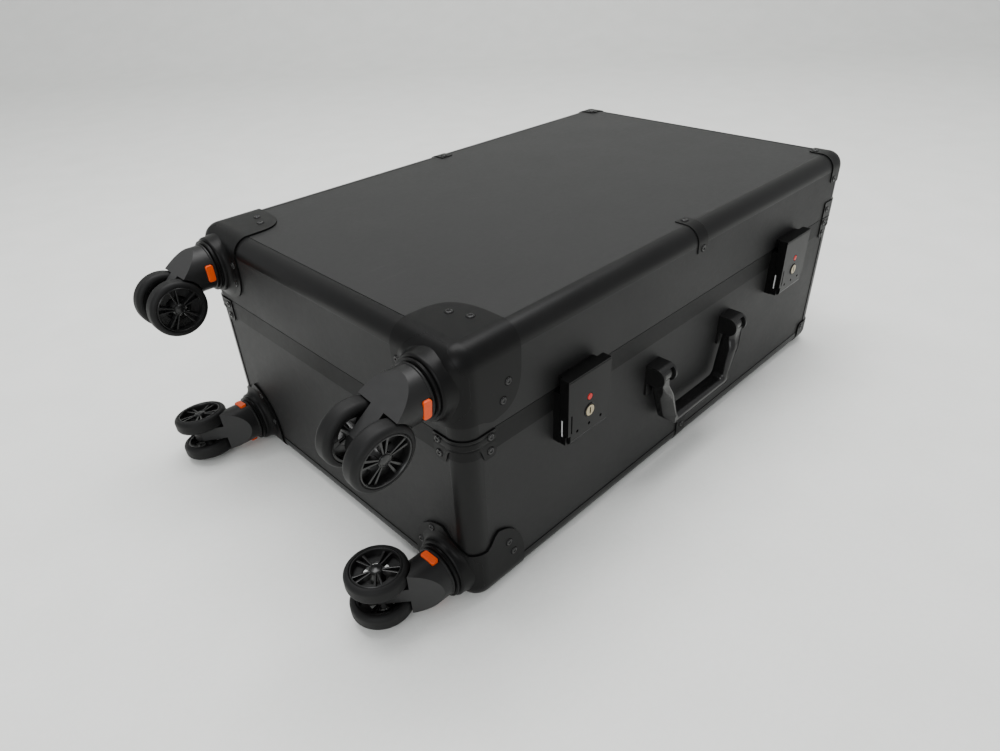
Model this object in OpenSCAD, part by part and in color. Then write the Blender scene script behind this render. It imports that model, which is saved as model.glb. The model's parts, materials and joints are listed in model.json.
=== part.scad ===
// Hard shell suitcase on wheels, lying on its back face.
// +Z up through the lid, -X towards the wheels, -Y the latch side, +Y the hinge side.
// The origin is the centre of the back face. Units are millimetres.

/* [Case] */
// Length of the case body, without wheels
case_l = 680; // [600:10:760]
// Width of the case body, latch side to hinge side
case_w = 425; // [400:5:480]
// Depth of the case body, back to lid
case_h = 276; // [266:2:300]
// Height of the seam between base and lid
seam_z = 194; // [190:1:200]
// Radius of the rounded edge extrusions
edge_r = 18; // [16:1:20]
// Sheet thickness of the wall panels
wall_t = 2.4; // [2:0.2:3]

/* [Corner covers] */
// How far the moulded wheel corners stand proud of the case
cap_p = 1.8; // [1.2:0.2:2.4]
// Reach of a wheel corner along the long side
cap_reach_l = 66; // [60:1:70]
// Reach of a wheel corner along the end face
cap_reach_w = 82; // [80:1:86]
// How far the thin corner plates stand proud
plate_p = 1.2; // [1:0.1:1.4]
// Reach of the thin corner plates
plate_reach = 36; // [32:1:40]

/* [Casters] */
// Distance of the swivel axes from the middle plane
caster_y = 178; // [176:1:180]
// Height of the lower swivel axes
caster_low_z = 35; // [34:1:36]
// Height of the upper swivel axes
caster_high_z = 241; // [240:1:242]
// Height of the boss that carries a caster
boss_h = 14; // [12:1:15]
// Wheel radius
wheel_r = 30.2; // [28:0.2:30.4]
// Distance of the axle beyond the boss face
axle_drop = 49; // [49:1:52]
// Trail of the axle behind the swivel axis
trail = 25.8; // [24:0.2:26]

/* [Fittings] */
// Distance of each latch from the middle
latch_x = 200; // [180:5:220]
// Distance of the telescopic tubes from the middle
tube_y = 75; // [70:1:80]
// Half distance between the carry handle boots
boot_x = 72; // [55:1:100]

/* [Hidden] */
$fn = 48;
CASTERS = ["lid_left", "lid_right", "base_left", "base_right"];

eps = 0.01;
hl = case_l / 2;
hw = case_w / 2;
rail_t = 2.2;
base_flange = 22;
lid_flange = 19;
base_inset = 0.8;
lid_inset = 0.2;
seam_gap = 0.3;
band_z = 172;
lid_z = seam_z + seam_gap;
lip_in = 5.4;
rivet_r = 3.6;
rivet_h = 1.2;

// ---- Shared outlines and helpers ----

// A rectangle with rounded corners, centred, kept exact
module round_rect(l, w, r) {
  square([l - 2 * r, w], center = true);
  square([l, w - 2 * r], center = true);
  for (sx = [-1, 1], sy = [-1, 1])
    translate([sx * (l / 2 - r), sy * (w / 2 - r)]) circle(r);
}

// A ring that follows the case outline, between two depths from the outer face
module case_ring(outer, inner, z0, z1) {
  translate([0, 0, z0]) linear_extrude(z1 - z0) difference() {
    round_rect(case_l - 2 * outer, case_w - 2 * outer, edge_r - outer);
    round_rect(case_l - 2 * inner, case_w - 2 * inner, edge_r - inner);
  }
}

// Section of a rounded edge: x runs outwards from the post axis, y up from the face
module edge_profile(p, th, flange) {
  ro = edge_r + p;
  intersection() {
    difference() {
      translate([0, ro]) circle(ro);
      translate([0, ro]) circle(ro - th);
    }
    square([ro, ro]);
  }
  if (flange > ro) translate([ro - th, ro]) square([th, flange - ro]);
}

// The same section with a leg along the flat face
module rail_profile(p, th, flange, leg) {
  edge_profile(p, th, flange);
  translate([edge_r - leg, 0]) square([leg - edge_r, th]);
}

// Places a section's extrusion along the long edge, on the side sy
module along_x(x0, x1, sy) {
  translate([x0, sy * (hw - edge_r), 0]) rotate([90, 0, 90]) linear_extrude(x1 - x0)
    scale_y(sy) children();
}

// Mirrors a flat shape left to right when s is negative
module scale_y(s) {
  if (s < 0) mirror([1, 0]) children();
  else children();
}

// Mirrors a flat shape front to back when s is negative
module flip_y(s) {
  if (s < 0) mirror([0, 1]) children();
  else children();
}

// Places a section's extrusion along an end edge, on the end sx
module along_y(y0, y1, sx) {
  translate([sx * (hl - edge_r), y1, 0]) rotate([90, 0, 0]) linear_extrude(y1 - y0)
    scale_y(sx) children();
}

// Turns a section a quarter turn about the post at corner sx, sy
module about_post(sx, sy) {
  start = sx > 0 ? (sy > 0 ? 0 : 270) : (sy > 0 ? 90 : 180);
  translate([sx * (hl - edge_r), sy * (hw - edge_r), 0]) rotate([0, 0, start])
    rotate_extrude(angle = 90) children();
}

// Turns the base half's shapes over so that they fit the lid face at height z
module flipped(z) {
  translate([0, 0, z]) mirror([0, 0, 1]) children();
}

// A quarter lobe outline from the origin: reaches a along x and b along y
module lobe(a, b, n = 2.6) {
  steps = 10;
  polygon(concat([[0, 0]], [for (i = [0:steps])
    let (t = 90 * i / steps) [a * pow(cos(t), 2 / n), b * pow(sin(t), 2 / n)]]));
}

// A plate on the long side sy, drawn as x from the end sx and height
module long_plate(sx, sy, p) {
  translate([sx * hl, sy * hw, 0]) rotate([90, 0, 0])
    translate([0, 0, sy > 0 ? -p : 0]) linear_extrude(p)
      scale_y(-sx) children();
}

// A plate on the end sx, drawn as distance from the side sy and height
module end_plate(sx, sy, p) {
  translate([sx * hl, sy * hw, 0]) rotate([90, 0, 90])
    translate([0, 0, sx > 0 ? 0 : -p]) linear_extrude(p)
      scale_y(-sy) children();
}

// A low domed rivet standing on the XY plane
module rivet() {
  cylinder(h = rivet_h * 0.6, r = rivet_r);
  cylinder(h = rivet_h, r = rivet_r * 0.72);
}

// A rivet on the long side, d from the end and at height z
module rivet_long(sx, sy, d, z, p) {
  translate([sx * (hl - d), sy * (hw + p), z]) rotate([-90 * sy, 0, 0]) rivet();
}

// A rivet on the end, d from the side and at height z
module rivet_end(sx, sy, d, z, p) {
  translate([sx * (hl + p), sy * (hw - d), z]) rotate([0, 90 * sx, 0]) rivet();
}

// ---- Base half ----

module back_panel() {
  color("#1d1e20") translate([0, 0, wall_t / 2])
    cube([case_l - 2 * base_flange, case_w - 2 * base_flange, wall_t], center = true);
}

module long_walls(inset, flange, z0, z1) {
  color("#1d1e20") for (sy = [-1, 1])
    translate([0, sy * (hw - inset - wall_t / 2), (z0 + z1) / 2])
      cube([case_l - 2 * flange, wall_t, z1 - z0], center = true);
}

module base_long_walls() {
  long_walls(base_inset, base_flange, base_flange, band_z);
}

module end_walls(inset, flange, z0, z1) {
  for (sx = [-1, 1])
    translate([sx * (hl - inset - wall_t / 2), 0, (z0 + z1) / 2])
      cube([wall_t, case_w - 2 * flange, z1 - z0], center = true);
}

module base_end_walls() {
  color("#1d1e20") difference() {
    end_walls(base_inset, lid_flange, base_flange, band_z);
    cup_hole();
    caster_stem_holes(caster_low_z);
  }
}

// Clearance through the wheel end wall for the caster stems
module caster_stem_holes(z) {
  for (sy = [-1, 1]) translate([-hl - 1, sy * caster_y, z]) rotate([0, 90, 0])
    cylinder(h = 8, r = 9);
}

module base_edge_rails() {
  cap_l = hl - cap_reach_l;
  plate_l = hl - plate_reach;
  cap_w = hw - cap_reach_w;
  plate_w = hw - plate_reach;
  color("#242527") {
    for (sy = [-1, 1]) along_x(-cap_l, plate_l, sy) rail_profile(0, rail_t, base_flange, base_flange);
    along_y(-cap_w, cap_w, -1) rail_profile(0, rail_t, base_flange, base_flange);
    difference() {
      along_y(-plate_w, plate_w, 1) rail_profile(0, rail_t, base_flange, base_flange);
      cup_hole();
    }
  }
}

// A wrapped corner between two heights: a quarter round with a leg on each side
module wrapped_corner(sx, sy, p, th, leg_l, leg_w, z0, z1) {
  ro = edge_r + p;
  translate([sx * (hl - edge_r), sy * (hw - edge_r), z0]) linear_extrude(z1 - z0)
    scale_y(sx) flip_y(sy) {
      intersection() {
        difference() {
          circle(ro);
          circle(ro - th);
        }
        square([ro, ro]);
      }
      translate([edge_r - leg_l, ro - th]) square([leg_l - edge_r, th]);
      translate([ro - th, edge_r - leg_w]) square([th, leg_w - edge_r]);
    }
}

module base_corner_posts() {
  color("#242527") for (sx = [-1, 1], sy = [-1, 1])
    wrapped_corner(sx, sy, 0, rail_t, base_flange, lid_flange, base_flange, band_z);
}

module base_seam_frame() {
  color("#242527") {
    case_ring(0, 3.2, band_z, seam_z);
    case_ring(3.2 - eps, 7.2, seam_z - 8, seam_z - 0.2);
    case_ring(lip_in, 7.2, seam_z - 1, seam_z + 6);
  }
}

// The rounded corner that closes the bottom edges at sx, sy
module base_corner(sx, sy, p, reach_l, reach_w) {
  th = p + rail_t;
  about_post(sx, sy) edge_profile(p, th, base_flange);
  x_far = sx * (hl - reach_l);
  x_near = sx * (hl - edge_r);
  along_x(min(x_far, x_near), max(x_far, x_near), sy) rail_profile(p, th, base_flange, base_flange);
  y_far = sy * (hw - reach_w);
  y_near = sy * (hw - edge_r);
  along_y(min(y_far, y_near), max(y_far, y_near), sx) rail_profile(p, th, base_flange, base_flange);
}

// The boss that a caster turns in, with its bore open to the outside
module boss(sy, z) {
  translate([-hl - boss_h, sy * caster_y, z]) rotate([0, 90, 0]) {
    cylinder(h = 3, r = 28);
    translate([0, 0, 2.5]) cylinder(h = boss_h - 2.5, r = 30);
  }
}

module boss_bore(sy, z) {
  translate([-hl - boss_h - 1, sy * caster_y, z]) rotate([0, 90, 0])
    cylinder(h = boss_h + 2, r = 8.05);
}

module wheel_corner_side(sx, sy, top_l, top_w) {
  low = base_flange - 0.5;
  about_post(sx, sy) translate([edge_r, low]) square([cap_p, min(top_l, top_w) - 14 - low]);
  long_plate(sx, sy, cap_p) translate([edge_r, low])
    lobe(cap_reach_l - edge_r, top_l - low);
  end_plate(sx, sy, cap_p) translate([edge_r, low])
    lobe(cap_reach_w - edge_r, top_w - low);
}

module base_wheel_corners() {
  color("#17181a") for (sy = [-1, 1]) difference() {
    union() {
      base_corner(-1, sy, cap_p, cap_reach_l, cap_reach_w);
      wheel_corner_side(-1, sy, 78, 83);
      boss(sy, caster_low_z);
    }
    boss_bore(sy, caster_low_z);
  }
}

module base_corner_plates() {
  color("#1b1c1e") for (sy = [-1, 1]) {
    base_corner(1, sy, plate_p, plate_reach, plate_reach);
    wrapped_corner(1, sy, plate_p, plate_p, plate_reach, plate_reach, base_flange - 0.5,
      plate_reach);
  }
}

module base_seam_plates() {
  color("#17181a") for (sx = [-1, 1], sy = [-1, 1])
    wrapped_corner(sx, sy, plate_p, plate_p, plate_reach, plate_reach, 166, seam_z - 0.4);
}

// A strap over a long bottom edge at the middle of the case
module base_straps() {
  color("#1b1c1e") for (sy = [-1, 1]) intersection() {
    difference() {
      translate([-9, sy > 0 ? hw - edge_r : -hw - 1, 3]) cube([18, edge_r + 1, 31]);
      translate([-10, sy * (hw - edge_r), edge_r]) rotate([0, 90, 0])
        cylinder(h = 20, r = edge_r);
      translate([-10, -hw, edge_r]) cube([20, case_w, 20]);
    }
    union() {
      translate([-10, sy * (hw - edge_r), edge_r + 1]) rotate([0, 90, 0])
        cylinder(h = 20, r = edge_r + 1);
      translate([-10, -hw - 1, edge_r + 1]) cube([20, case_w + 2, 20]);
    }
  }
}

// Distances of the base rivets: [from the corner, height] on the long side, then on the end
BASE_CAP_LONG = [[45, 54], [51, 38]];
BASE_CAP_END = [[53, 70], [72, 42]];
SEAM_PLATE = [[30, 188], [29, 174]];
FOOT_PLATE = [[29, 29]];

module base_rivets() {
  color("#101113") for (sy = [-1, 1]) {
    for (v = BASE_CAP_LONG) rivet_long(-1, sy, v[0], v[1], cap_p);
    for (v = BASE_CAP_END) rivet_end(-1, sy, v[0], v[1], cap_p);
    for (sx = [-1, 1], v = SEAM_PLATE) {
      rivet_long(sx, sy, v[0], v[1], plate_p);
      rivet_end(sx, sy, v[0], v[1], plate_p);
    }
    for (v = FOOT_PLATE) {
      rivet_long(1, sy, v[0], v[1], plate_p);
      rivet_end(1, sy, v[0], v[1], plate_p);
    }
    rivet_long(-1, sy, hl, 27, 1);
  }
}

// The cloth tray inside the base, raised over the telescopic handle's tubes
base_floor_z = 30;
module base_lining() {
  color("#3a3b3f") difference() {
    union() {
      case_ring(3.4, 4.8, base_floor_z, seam_z - 8.2);
      translate([0, 0, base_floor_z]) linear_extrude(1.4)
        round_rect(case_l - 6.8, case_w - 6.8, edge_r - 3.4);
    }
    translate([hl - 46, -119, 0]) cube([60, 238, 52]);
  }
}

// ---- Lid half ----

module lid_panel() {
  color("#26272a") translate([0, 0, case_h - lid_inset - wall_t / 2])
    cube([case_l - 2 * lid_flange, case_w - 2 * lid_flange, wall_t], center = true);
}

module lid_long_walls() {
  long_walls(lid_inset, lid_flange, lid_z, case_h - lid_flange);
}

module lid_end_walls() {
  color("#1d1e20") difference() {
    end_walls(lid_inset, lid_flange, lid_z, case_h - lid_flange);
    caster_stem_holes(caster_high_z);
  }
}

module lid_edge_rails() {
  color("#242527") flipped(case_h) {
    for (sy = [-1, 1])
      along_x(-hl + edge_r, hl - edge_r, sy) rail_profile(0, rail_t, lid_flange, lid_flange);
    for (sx = [-1, 1])
      along_y(-hw + edge_r, hw - edge_r, sx) edge_profile(0, rail_t, lid_flange);
  }
}

module lid_corner_posts() {
  color("#242527") for (sx = [-1, 1], sy = [-1, 1])
    wrapped_corner(sx, sy, 0, rail_t, lid_flange, lid_flange, lid_z, case_h - lid_flange);
}

module lid_seam_frame() {
  color("#242527") case_ring(2.7, 4.6, seam_z + 0.5, seam_z + 18);
}

// The cover over a lid corner: ball, edges and three flat lobes
module lid_cover(sx, sy, p, reach_l, reach_w, drop, n) {
  flipped(case_h + p) {
    about_post(sx, sy) edge_profile(p, p, drop + p - 8);
    x_far = sx * (hl - reach_l);
    x_near = sx * (hl - edge_r);
    along_x(min(x_far, x_near), max(x_far, x_near), sy) edge_profile(p, p, edge_r + p);
    y_far = sy * (hw - reach_w);
    y_near = sy * (hw - edge_r);
    along_y(min(y_far, y_near), max(y_far, y_near), sx) edge_profile(p, p, edge_r + p);
    translate([sx * (hl - edge_r), sy * (hw - edge_r), 0]) linear_extrude(p)
      scale_y(-sx) flip_y(-sy) lobe(reach_l - edge_r, reach_w - edge_r, n);
    long_plate(sx, sy, p) translate([edge_r, edge_r + p])
      lobe(reach_l - edge_r, drop - edge_r, n);
    end_plate(sx, sy, p) translate([edge_r, edge_r + p])
      lobe(reach_w - edge_r, drop - edge_r, n);
  }
}

module lid_wheel_corners() {
  color("#17181a") for (sy = [-1, 1]) difference() {
    union() {
      lid_cover(-1, sy, cap_p, cap_reach_l + 2, cap_reach_w - 2, 74, 3.2);
      boss(sy, caster_high_z);
    }
    boss_bore(sy, caster_high_z);
  }
}

module lid_corner_plates() {
  color("#1b1c1e") for (sy = [-1, 1])
    lid_cover(1, sy, plate_p, plate_reach, plate_reach, plate_reach, 5);
}

module lid_seam_plates() {
  z0 = lid_z + 0.3;
  color("#17181a") for (sy = [-1, 1])
    wrapped_corner(1, sy, plate_p, plate_p, plate_reach, plate_reach, z0, seam_z + 22);
}

module lid_straps() {
  color("#1b1c1e") flipped(case_h + 1) for (sy = [-1, 1]) {
    along_x(-9, 9, sy) rail_profile(1, 1, 28, 30);
  }
}

// Distances of the lid rivets, as on the base, with the flat top last
LID_CAP_LONG = [[52, 233], [45.5, 217]];
LID_CAP_END = [[72, 248], [68, 226]];
LID_CAP_TOP = [[45.4, 58], [52, 39]];
LID_PLATE = [29, 247];

module lid_rivets() {
  color("#101113") for (sy = [-1, 1]) {
    for (v = LID_CAP_LONG) rivet_long(-1, sy, v[0], v[1], cap_p);
    for (v = LID_CAP_END) rivet_end(-1, sy, v[0], v[1], cap_p);
    for (v = LID_CAP_TOP)
      translate([-hl + v[0], sy * (hw - v[1]), case_h + cap_p]) rivet();
    rivet_long(1, sy, LID_PLATE[0], LID_PLATE[1], plate_p);
    rivet_end(1, sy, LID_PLATE[0], LID_PLATE[1], plate_p);
    translate([hl - 29, sy * (hw - 29), case_h + plate_p]) rivet();
    rivet_long(1, sy, 29, seam_z + 12, plate_p);
    rivet_end(1, sy, 29, seam_z + 12, plate_p);
    translate([0, sy * (hw - 24), case_h + 1]) rivet();
    rivet_long(-1, sy, hl, case_h - 23, 1);
  }
}

module lid_lining() {
  z0 = seam_z + 18.2;
  step_z = case_h - 12.6;
  z1 = case_h - 6;
  cloth_t = 1.4;
  color("#3a3b3f") {
    case_ring(3.4, 3.4 + cloth_t, z0, step_z);
    case_ring(3.4, 9.8, step_z - cloth_t, step_z);
    case_ring(8.4, 8.4 + cloth_t, step_z - cloth_t, z1);
    translate([0, 0, z1 - cloth_t]) linear_extrude(cloth_t)
      round_rect(case_l - 16.8, case_w - 16.8, edge_r - 8.4);
  }
}

// ---- Hinges ----

hinge_x = 200;
hinge_y = hw + 4.5;
knuckle_r = 4;
pin_r = 1.5;
leaf_l = 60;

module hinge_base_leaves() {
  color("#2a2b2d") for (sx = [-1, 1]) translate([sx * hinge_x, 0, 0]) {
    translate([-leaf_l / 2, hw, band_z + 2]) cube([leaf_l, 1.5, seam_z - band_z - knuckle_r - 2.6]);
    for (side = [-1, 1]) translate([side * 20.2, 0, 0]) {
      translate([-9.8, hinge_y, seam_z]) rotate([0, 90, 0]) cylinder(h = 19.6, r = knuckle_r);
      translate([-9.8, hw, seam_z - 7]) cube([19.6, 4.5, 6.6]);
    }
    translate([-leaf_l / 2, hinge_y, seam_z]) rotate([0, 90, 0])
      cylinder(h = leaf_l, r = pin_r);
  }
}

module hinge_lid_leaves() {
  color("#2a2b2d") for (sx = [-1, 1]) translate([sx * hinge_x, 0, 0]) {
    translate([-leaf_l / 2, hw - lid_inset, seam_z + 5]) cube([leaf_l, 1.7, 16]);
    difference() {
      union() {
        translate([-10, hinge_y, seam_z]) rotate([0, 90, 0]) cylinder(h = 20, r = knuckle_r);
        translate([-10, hw - lid_inset, seam_z + 0.5]) cube([20, 4.5, 5]);
      }
      translate([-11, hinge_y, seam_z]) rotate([0, 90, 0]) cylinder(h = 22, r = pin_r + 0.06);
    }
  }
}

// ---- Latches ----

latch_w = 60;
latch_axis_z = 142;
latch_axis_y = -hw - 12;
latch_top = 208;
flap_r = 5.2;
plug_r = 5.6;
plug_z = 164;
mark_z = 179;

module latch_bases() {
  color("#151618") for (sx = [-1, 1]) translate([sx * latch_x, 0, 0]) {
    difference() {
      translate([-latch_w / 2, -hw - 6.5, 137]) cube([latch_w, 6.5 + base_inset, 35]);
      translate([0, -hw - 7, plug_z]) rotate([-90, 0, 0]) cylinder(h = 6, r = plug_r + 1);
    }
    translate([-latch_w / 2, -hw - 6.5, band_z - eps]) cube([latch_w, 6.5, 20]);
    for (side = [-1, 1]) difference() {
      translate([side * 28.5 - 1.5, -hw - 14, 137.5]) cube([3, 8, 9]);
      translate([side * 28.5 - 2, latch_axis_y, latch_axis_z]) rotate([0, 90, 0])
        cylinder(h = 4, r = 1.5);
    }
  }
}

module latch_flap(sx) {
  color("#0e0f11") translate([sx * latch_x, 0, 0]) difference() {
    union() {
      translate([-26.6, latch_axis_y, latch_axis_z]) rotate([0, 90, 0])
        cylinder(h = 53.2, r = flap_r);
      translate([-26.6, latch_axis_y - flap_r, latch_axis_z])
        cube([53.2, 2 * flap_r, 8]);
      translate([-latch_w / 2, latch_axis_y - flap_r, latch_axis_z + 6])
        cube([latch_w, 2 * flap_r, latch_top - latch_axis_z - 6]);
      for (side = [-1, 1]) translate([side * 28.2 - 1.7, latch_axis_y, latch_axis_z])
        rotate([0, 90, 0]) cylinder(h = 3.4, r = 1.42);
    }
    translate([0, latch_axis_y - 6, plug_z]) rotate([-90, 0, 0])
      cylinder(h = 12, r = plug_r + 0.06);
    translate([0, latch_axis_y - flap_r - 1, mark_z]) rotate([-90, 0, 0])
      cylinder(h = 2, r = 3.8);
    for (i = [-1:1]) translate([17 * i, latch_axis_y - flap_r - 1, 149]) rotate([-90, 0, 0])
      cylinder(h = 3, r = 1.6);
    translate([-latch_w / 2 + 4, latch_axis_y - flap_r - 1, 150]) cube([1.6, 3, 20]);
  }
}

// The turning barrel of the lock, with its key slot
module lock_plug(sx) {
  color("#b79a55") translate([sx * latch_x, latch_axis_y - flap_r - 1, plug_z])
    rotate([-90, 0, 0]) difference() {
      cylinder(h = 10, r = plug_r);
      translate([-0.9, -3.4, -1]) cube([1.8, 6.8, 7]);
    }
}

module latch_keepers() {
  color("#202124") for (sx = [-1, 1])
    translate([sx * latch_x - 24, -hw - 6.4, seam_z + 1]) cube([48, 6.4 + lid_inset, 11]);
}

// ---- Carry handle ----

pivot_z = 138;
pivot_off = 12;
boot_w = 24;
cheek_t = 3;
arm_w = 17.2;
hood_r = 11;
barrel_r = 8;
handle_bottom = 70;
grip_t = 7;
grip_front = 12.5;
arm_lean = 19.7;

// Side view of a boot's cheek about the pivot, the wall on +X
module boot_side() {
  circle(hood_r);
  translate([0, -hood_r]) square([pivot_off, 2 * hood_r]);
}

// The same side, extruded along the case's X axis
module boot_slice(x0, x1) {
  translate([x0, -pivot_off, pivot_z]) rotate([90, 0, 90]) linear_extrude(x1 - x0) children();
}

module handle_boots() {
  half = boot_w / 2;
  hood_z = barrel_r + 0.5;
  color("#0d0e10") for (sx = [-1, 1]) translate([sx * boot_x, -hw, 0]) {
    translate([-half, -2, pivot_z - 26]) cube([boot_w, 2 + base_inset, 26 + hood_r]);
    boot_slice(-half, -half + cheek_t) boot_side();
    boot_slice(half - cheek_t, half) boot_side();
    boot_slice(-half + cheek_t, half - cheek_t) intersection() {
      boot_side();
      translate([-hood_r, hood_z]) square([hood_r + pivot_off, hood_r - hood_z]);
    }
    translate([-half, -pivot_off, pivot_z]) rotate([0, 90, 0]) cylinder(h = boot_w, r = 2.5);
  }
}

function arc(x, y, r, from, to) =
  [for (i = [0:7]) let (a = from + (to - from) * i / 7) [x + r * cos(a), y + r * sin(a)]];
function mirrored(path) = [for (i = [len(path) - 1:-1:0]) [-path[i][0], path[i][1]]];

// Front view of the handle below its pivots: a straight grip and two arms that lean out
module handle_outline() {
  h = pivot_z - handle_bottom;
  far = boot_x + arm_w / 2;
  near = boot_x - arm_w / 2;
  outer = concat(arc(boot_x - 22, -h + 14, 14, -90, -arm_lean), [[far, -10], [far, 0]]);
  inner = concat([[near, 0], [near, -13], [near - 3.2, -20]],
                 arc(boot_x - 28, -h + 14, 14 - grip_t, -14, -90));
  side = concat(outer, inner);
  polygon(concat(side, mirrored(side)));
}

// Side view of the handle, the wall on +X: slim at the pivot and deeper at the grip
module handle_side() {
  h = pivot_z - handle_bottom;
  polygon([[-barrel_r, 0], [-barrel_r, -14], [-grip_front, -26], [-grip_front, -h],
           [barrel_r - 4, -h], [barrel_r, -h + 4], [barrel_r, 0]]);
}

module carry_handle() {
  h = pivot_z - handle_bottom;
  far = boot_x + arm_w;
  color("#0b0c0e") difference() {
    union() {
      intersection() {
        translate([0, -hw, pivot_z]) rotate([90, 0, 0]) linear_extrude(40) handle_outline();
        translate([-far, -hw - pivot_off, pivot_z]) rotate([90, 0, 90])
          linear_extrude(2 * far) handle_side();
      }
      for (s = [-1, 1]) translate([s * boot_x - arm_w / 2, -hw - pivot_off, pivot_z])
        rotate([0, 90, 0]) cylinder(h = arm_w, r = barrel_r);
    }
    for (s = [-1, 1]) {
      translate([s * boot_x - arm_w / 2 - 1, -hw - pivot_off, pivot_z]) rotate([0, 90, 0])
        cylinder(h = arm_w + 2, r = 2.56);
      translate([s * (boot_x - 14.2), -hw - pivot_off, pivot_z - h - 5.9])
        rotate([0, s * arm_lean, 0]) linear_extrude(66)
          polygon([[0, 0], [s * 4, 0], [s * 4, -14], [-s * 9, -14]]);
    }
  }
}

// ---- Telescopic handle ----

tube_z = 17;
cup_z0 = 6;
cup_z1 = 46;
cup_half = 114;
cup_depth = 40;
grip_half = 95;

module cup_hole() {
  translate([hl - 30, -cup_half - 0.2, cup_z0 - 0.2])
    cube([40, 2 * cup_half + 0.4, cup_z1 - cup_z0 + 0.4]);
}

module trolley_cup() {
  color("#151618") difference() {
    union() {
      translate([hl - cup_depth, -cup_half, cup_z0])
        cube([cup_depth + 1, 2 * cup_half, cup_z1 - cup_z0]);
      translate([hl, -cup_half - 6, cup_z0 - 2]) cube([2, 2 * cup_half + 12, 46]);
    }
    translate([hl - cup_depth + 2.4, -cup_half + 2.4, cup_z0 + 2.4])
      cube([cup_depth + 5, 2 * cup_half - 4.8, cup_z1 - cup_z0 - 4.8]);
    for (s = [-1, 1]) translate([hl - cup_depth - 1, s * tube_y, tube_z])
      cube_x(5, 20.6, 10.6);
  }
}

// A bar along +X of length l, y width and z height
module cube_x(l, w, h) {
  translate([0, -w / 2, -h / 2]) cube([l, w, h]);
}

outer_x0 = -60;
module trolley_outer_tubes() {
  len = hl - cup_depth - outer_x0;
  color("#6b6d70") for (s = [-1, 1]) translate([outer_x0, s * tube_y, tube_z]) difference() {
    cube_x(len, 24, 14);
    translate([-1, 0, 0]) cube_x(len + 2, 20.8, 10.8);
  }
}

inner_x0 = -40;
grip_x = hl - 19;
module trolley_inner_tubes() {
  color("#8a8c8f") for (s = [-1, 1]) translate([inner_x0, s * tube_y, tube_z])
    difference() {
      cube_x(grip_x - inner_x0, 20, 10);
      translate([-1, 0, 0]) cube_x(grip_x - inner_x0 - 3, 17.6, 7.6);
    }
}

module trolley_grip() {
  color("#0d0e10") difference() {
    union() {
      translate([grip_x, -grip_half, tube_z - 7.5]) cube([17, 2 * grip_half, 15]);
      translate([grip_x + 8.5, -grip_half, tube_z - 7.5]) cylinder(h = 15, r = 8.5);
      translate([grip_x + 8.5, grip_half, tube_z - 7.5]) cylinder(h = 15, r = 8.5);
    }
    translate([grip_x + 8, -18.4, tube_z - 4.4]) cube([12, 36.8, 8.8]);
  }
}

module trolley_button() {
  color("#9a9c9f") translate([grip_x + 11.4, -18, tube_z - 4]) cube([6.4, 36, 8]);
}

// ---- Casters ----

// Swivel angle of each caster, from +Y towards +Z
function caster_angle(name) = name == "lid_left" ? -82 : name == "lid_right" ? -91.5
  : name == "base_left" ? -1.5 : -9;
function caster_side(name) = name == "lid_left" || name == "base_left" ? -1 : 1;
function caster_z(name) = name == "lid_left" || name == "lid_right" ? caster_high_z
  : caster_low_z;

// Caster frame: +Z away from the case along the swivel axis, +X along the trail, Y along the axle
module at_caster(name) {
  translate([-hl - boss_h, caster_side(name) * caster_y, caster_z(name)])
    rotate([caster_angle(name), 0, 0]) multmatrix([[0, 0, -1, 0], [1, 0, 0, 0],
      [0, -1, 0, 0], [0, 0, 0, 1]]) children();
}

collar_r = 24;
collar_h = 15.6;
cheek_w = 15.4;
axle_r = 3;
button_z = 7.6;
button_l = 18;
button_h = 8;
button_in = 19.5;

// Height of the fork's slanted back over a place along its trail
function back_z(x) = collar_h - 1 + (x + 22) * (axle_drop + 10.8 - collar_h) / (trail + 12);

module caster_fork(name) {
  color("#141517") at_caster(name) difference() {
    union() {
      difference() {
        intersection() {
          translate([0, 0, 0.4]) cylinder(h = axle_drop, r = collar_r);
          translate([0, collar_r + 1, 0]) rotate([90, 0, 0]) linear_extrude(2 * collar_r + 2)
            polygon([[-25, 0], [25, 0], [25, back_z(25)], [-25, back_z(-25)]]);
        }
        for (s = [-1, 1]) translate([trail, s > 0 ? collar_r + 1 : -cheek_w / 2, axle_drop])
          rotate([90, 0, 0]) cylinder(h = collar_r + 1 - cheek_w / 2, r = wheel_r + 1.3);
      }
      translate([0, 0, -boss_h + 1]) cylinder(h = boss_h, r = 8);
      translate([0, cheek_w / 2, 0]) rotate([90, 0, 0]) linear_extrude(cheek_w) {
        translate([trail, axle_drop]) circle(14);
        polygon([[-22, back_z(-22)], [collar_r - 1, collar_h - 1], [trail + 14, axle_drop],
          [trail - 10, back_z(trail - 10)]]);
      }
    }
    translate([trail, cheek_w, axle_drop]) rotate([90, 0, 0])
      cylinder(h = 2 * cheek_w, r = axle_r + 0.05);
    for (s = [-1, 1]) translate([-button_l / 2 - 0.3, s > 0 ? 16.5 : -collar_r - 5,
      button_z - button_h / 2 - 0.3]) cube([button_l + 0.6, collar_r - 11.5, button_h + 0.6]);
  }
}

module caster_button(name, s) {
  color("#f2571c") at_caster(name) intersection() {
    translate([-button_l / 2, s > 0 ? button_in : -collar_r - 2, button_z - button_h / 2])
      cube([button_l, collar_r + 2 - button_in, button_h]);
    cylinder(h = 30, r = collar_r + 0.7);
  }
}

wheel_in = 9;
wheel_out = 26;
rim_r = 24;

// Both rims of a caster, pressed on one axle
module caster_wheels(name) {
  color("#0f1012") at_caster(name) translate([trail, 0, axle_drop]) rotate([90, 0, 0]) {
    translate([0, 0, -wheel_out + 1]) cylinder(h = 2 * wheel_out - 2, r = axle_r);
    for (s = [-1, 1]) translate([0, 0, s > 0 ? wheel_in : -wheel_out])
      linear_extrude(wheel_out - wheel_in) rim_outline();
  }
}

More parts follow.
